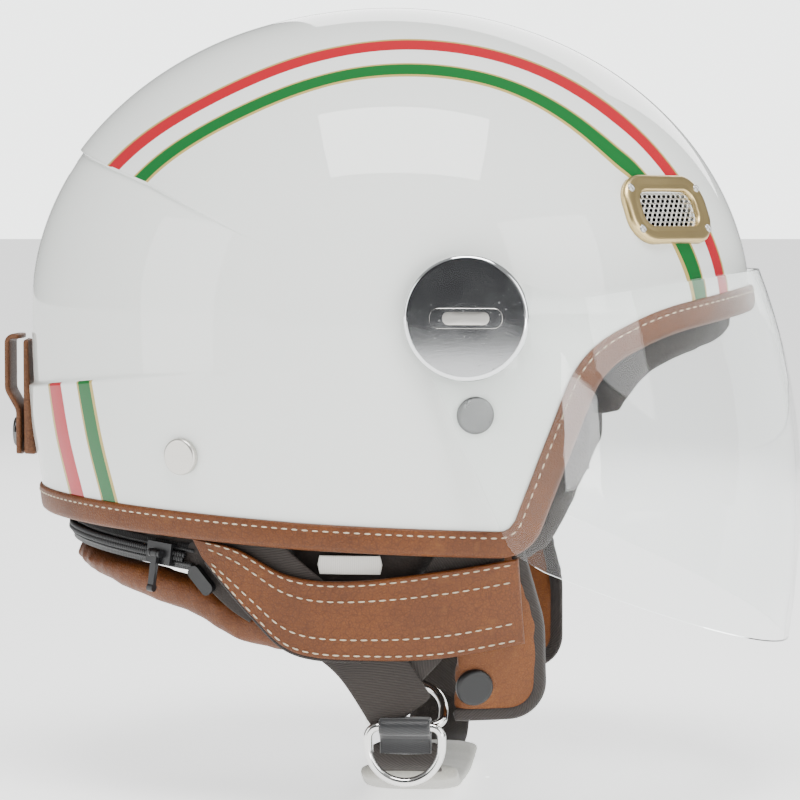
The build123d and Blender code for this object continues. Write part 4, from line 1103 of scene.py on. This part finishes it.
def expanded_mesh(name, plane):
    """Flattened rings in shifted rows over the window."""
    rows, columns, pitch_a, pitch_b = 9, 13, 2.75, 1.85
    j, i = np.meshgrid(np.arange(rows), np.arange(columns), indexing="ij")
    a = ((i - (columns - 1) / 2 + (j % 2) * 0.5) * pitch_a).ravel()
    b = ((j - (rows - 1) / 2) * pitch_b).ravel()
    keep = (abs(a) < 17.2) & (abs(b) < 8.2)
    a, b = a[keep], b[keep]
    u, v = np.meshgrid(np.arange(14) * TURN / 14, np.arange(5) * TURN / 5, indexing="ij")
    ring_a = (1.30 + 0.34 * np.cos(v)) * np.cos(u)
    ring_b = (0.86 + 0.30 * np.cos(v)) * np.sin(u)
    ring_h = 0.32 * np.sin(v) + 0.30 * np.sin(u)
    a, b = a[:, None, None], b[:, None, None]
    verts = in_plane(plane, a + ring_a, b + ring_b, -1.5 + ring_h + 0 * a)
    one = quads(14, 5, close_rows=True, close_columns=True)
    faces = (one[None] + np.arange(len(a))[:, None, None] * 70).reshape(-1, 4)
    return weld(made(name, verts, faces))


def screw_heads(name, plane):
    """Domes on the frame: rings of a quarter circle, pressed in along a slot across the middle."""
    a0, b0 = (v.ravel() for v in np.meshgrid([-18.86, 18.86], [-8.1, 8.1]))
    foot = onto(plane, a0, b0, -2.45)
    tilt = np.linspace(0, np.pi / 2, 12)[None, :, None]
    turn = np.arange(40)[None, None] * TURN / 40
    radius = 1.65 * np.cos(tilt)
    a, b, h = radius * np.cos(turn), radius * np.sin(turn), np.sin(tilt)
    h = h - 0.45 * (1 - smooth(abs(a * 0.8 + b * 0.6), 0.16, 0.34)) * smooth(h, 0.2, 0.5)
    origin, level, up, out = plane
    verts = foot[:, None, None] + a[..., None] * level + b[..., None] * up + h[..., None] * out
    one = quads(12, 40, close_columns=True)
    faces = (one[None] + np.arange(4)[:, None, None] * 480).reshape(-1, 4)
    return weld(made(name, verts, faces))


for side, word in ((RIGHT, "right"), (LEFT, "left")):
    vent = seat(*VENT, side=side)
    replaced = ("vent_screws",) if side == RIGHT else ()
    settle(screw_heads(f"vent_screws_{word}_domes", vent), "root", "plain_steel", *replaced, finish=STEEL)
    frame_piece = vent_frame(f"vent_frame_{word}_brass", vent)
    settle(frame_piece, "root", "brass_frame", f"vent_frame_{word}", finish=BRASS)
    mesh_piece = expanded_mesh(f"vent_mesh_{word}_rings", vent)
    settle(mesh_piece, "root", "satin_silver", f"vent_mesh_{word}", finish=MESH_METAL)

# %% [markdown]
# The visor is thin clear plastic. Its shape comes from the CAD model, and its finish is glass-like with a
# hair of tint, so that its edge shows against a pale ground.

# %% Visor and the hard parts
def clear_plastic():
    clear = (0.97, 0.985, 0.98)
    f = Finish("clear_visor", clear, 0.015, Transmission_Weight=1.0, IOR=1.35, Specular_IOR_Level=0.5)
    smears = f.noise(30.0, 5.0).ramp(0.5, 0.8)
    hairs = f.noise(1500.0, 6.0).ramp(0.66, 0.8)
    f.set(Roughness=0.012 + smears * 0.03 + hairs * 0.05,
          Base_Color=f.mix(smears * 0.2, clear, (0.93, 0.955, 0.945)))
    return f.material


def grip_bar(name, side):
    """Bar across the cap: a long rounded outline whose height falls away as a quarter ellipse."""
    t = np.linspace(0, 1, 14)[:, None]
    a, b = rounded_box(26.4, 7.4, 3.4, 72)
    shrink, rise = np.cos(t * np.pi / 2) ** 0.6, np.sin(t * np.pi / 2) * 1.25
    long, high, out = a * shrink, b * shrink, 125.1 + rise + 0 * a
    return surface(name, np.stack([long, side * out, high], -1), close_columns=True)


for side, word in ((RIGHT, "right"), (LEFT, "left")):
    settle(grip_bar(f"pivot_grip_{word}", side), "root", "chrome", finish=SATIN_SILVER)

HARD = {
    "visor": clear_plastic(), "pivot_cap_right": CHROME, "pivot_cap_left": CHROME, "visor_base_right": BLACK,
    "visor_base_left": BLACK, "pivot_washers": STEEL, "pivot_screws": STEEL, "pivot_nuts": STEEL,
    "strap_rivets": STEEL, "anchor_plates": STEEL, "front_rivet_caps": DARK_NICKEL,
    "rear_rivet_caps": SATIN_SILVER, "d_ring_lower": NICKEL, "d_ring_upper": NICKEL, "flap_snap_right": BLACK,
    "flap_snap_left": BLACK, "loop_snap_cap": DARK_NICKEL, "loop_stud": STEEL, "zip_slider": ZIP_PLASTIC,
    "zip_puller": ZIP_PLASTIC, "zip_stops": BLACK, "rear_vent_grille": BLACK, "impact_liner": FOAM,
}
for node, finish in HARD.items():
    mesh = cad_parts[node].data
    mesh.materials.clear()
    mesh.materials.append(finish)
print("finished", len(HARD), "hard nodes")

# %% [markdown]
# The studio is a flat pale floor that runs out to the horizon, one soft light above, two at the sides, a
# weak one low in front and one behind. A dark card behind the camera gives polished metal something to
# reflect. The world is bright where it is seen directly or through the visor, and dim as a light.

# %% Studio, lights and camera
def studio():
    """Flat round floor just under the lowest strap, wide enough to reach the horizon."""
    low = CAD_BOX[0][2] / MM - 1.0
    turn, radius = np.arange(96)[:, None] * TURN / 96, np.geomspace(1, 30000, 24)[None]
    points = np.stack(np.broadcast_arrays(radius * np.cos(turn), radius * np.sin(turn), low), -1)
    floor = surface("floor", points, close_rows=True, solid=False)
    f = Finish("pale_floor", (0.90, 0.91, 0.90), 0.8, Emission_Color=(1, 1, 1, 1), Emission_Strength=1.3)
    floor.data.materials.append(f.material)


def dark_card(name, place, target, size):
    """Flat dark board that polished metal and lacquer pick up as a soft dark reflection."""
    across = np.linspace(-0.5, 0.5, 3)
    a, b = np.meshgrid(across * size[0], across * size[1], indexing="ij")
    turned = (Vector(target) - Vector(place)).to_track_quat("-Z", "Y").to_matrix()
    flat = np.stack([a, b, 0 * a], -1) @ np.array(turned).T + np.array(place)
    card = surface(name, flat / MM, solid=False)
    card.data.materials.append(Finish(name + "_black", (0.02, 0.02, 0.022), 0.9).material)
    card.visible_camera = card.visible_diffuse = card.visible_transmission = False


def soft_light(name, place, target, size, power):
    """Rectangular white light at a place, turned to its target."""
    light = bpy.data.lights.new(name, "AREA")
    light.shape, light.size, light.size_y = "RECTANGLE", *size
    light.energy = power
    lamp = bpy.data.objects.new(name, light)
    lamp.location = place
    lamp.rotation_euler = (Vector(target) - Vector(place)).to_track_quat("-Z", "Y").to_euler()
    bpy.context.scene.collection.objects.link(lamp)


studio()
soft_light("overhead", (0.05, -0.55, 1.25), (0.0, 0.0, 0.0), (0.9, 0.7), 26)
soft_light("front_fill", (1.3, -1.1, 0.5), (0, 0, -0.05), (0.9, 1.1), 16)
soft_light("rear_fill", (-1.5, -0.9, 0.35), (-0.05, 0, -0.05), (0.8, 1.1), 9)
soft_light("low_fill", (0.75, -1.5, -0.12), (-0.03, 0, -0.1), (0.5, 0.12), 3)
soft_light("far_fill", (0.2, 1.6, 0.8), (0, 0, -0.05), (1.2, 0.9), 14)
dark_card("dark_card", (-0.55, -2.1, 0.62), (0, 0, 0), (1.5, 1.5))
world = bpy.context.scene.world or bpy.data.worlds.new("studio")
bpy.context.scene.world = world
world.use_nodes = True
sky = world.node_tree
ray = sky.nodes.new("ShaderNodeLightPath")
seen = sky.nodes.new("ShaderNodeMath")
seen.operation = "MAXIMUM"
level = sky.nodes.new("ShaderNodeMapRange")
sky.links.new(ray.outputs["Is Camera Ray"], seen.inputs[0])
sky.links.new(ray.outputs["Is Transmission Ray"], seen.inputs[1])
sky.links.new(seen.outputs[0], level.inputs["Value"])
level.inputs["To Min"].default_value, level.inputs["To Max"].default_value = 0.42, 3.6
sky.nodes["Background"].inputs["Color"].default_value = (0.96, 0.98, 0.97, 1)
sky.links.new(level.outputs[0], sky.nodes["Background"].inputs["Strength"])
camera = bpy.data.objects.new("camera", bpy.data.cameras.new("camera"))
camera.data.lens, camera.data.sensor_width = 160, 36
camera.location = (0.0873, -1.3928, 0.0374)
camera.rotation_euler = (Vector((-0.0346, 0, -0.0359)) - camera.location).to_track_quat("-Z", "Y").to_euler()
bpy.context.scene.collection.objects.link(camera)
bpy.context.scene.camera = camera
print("camera", round(camera.location.length, 3), "m from the pivot axis")
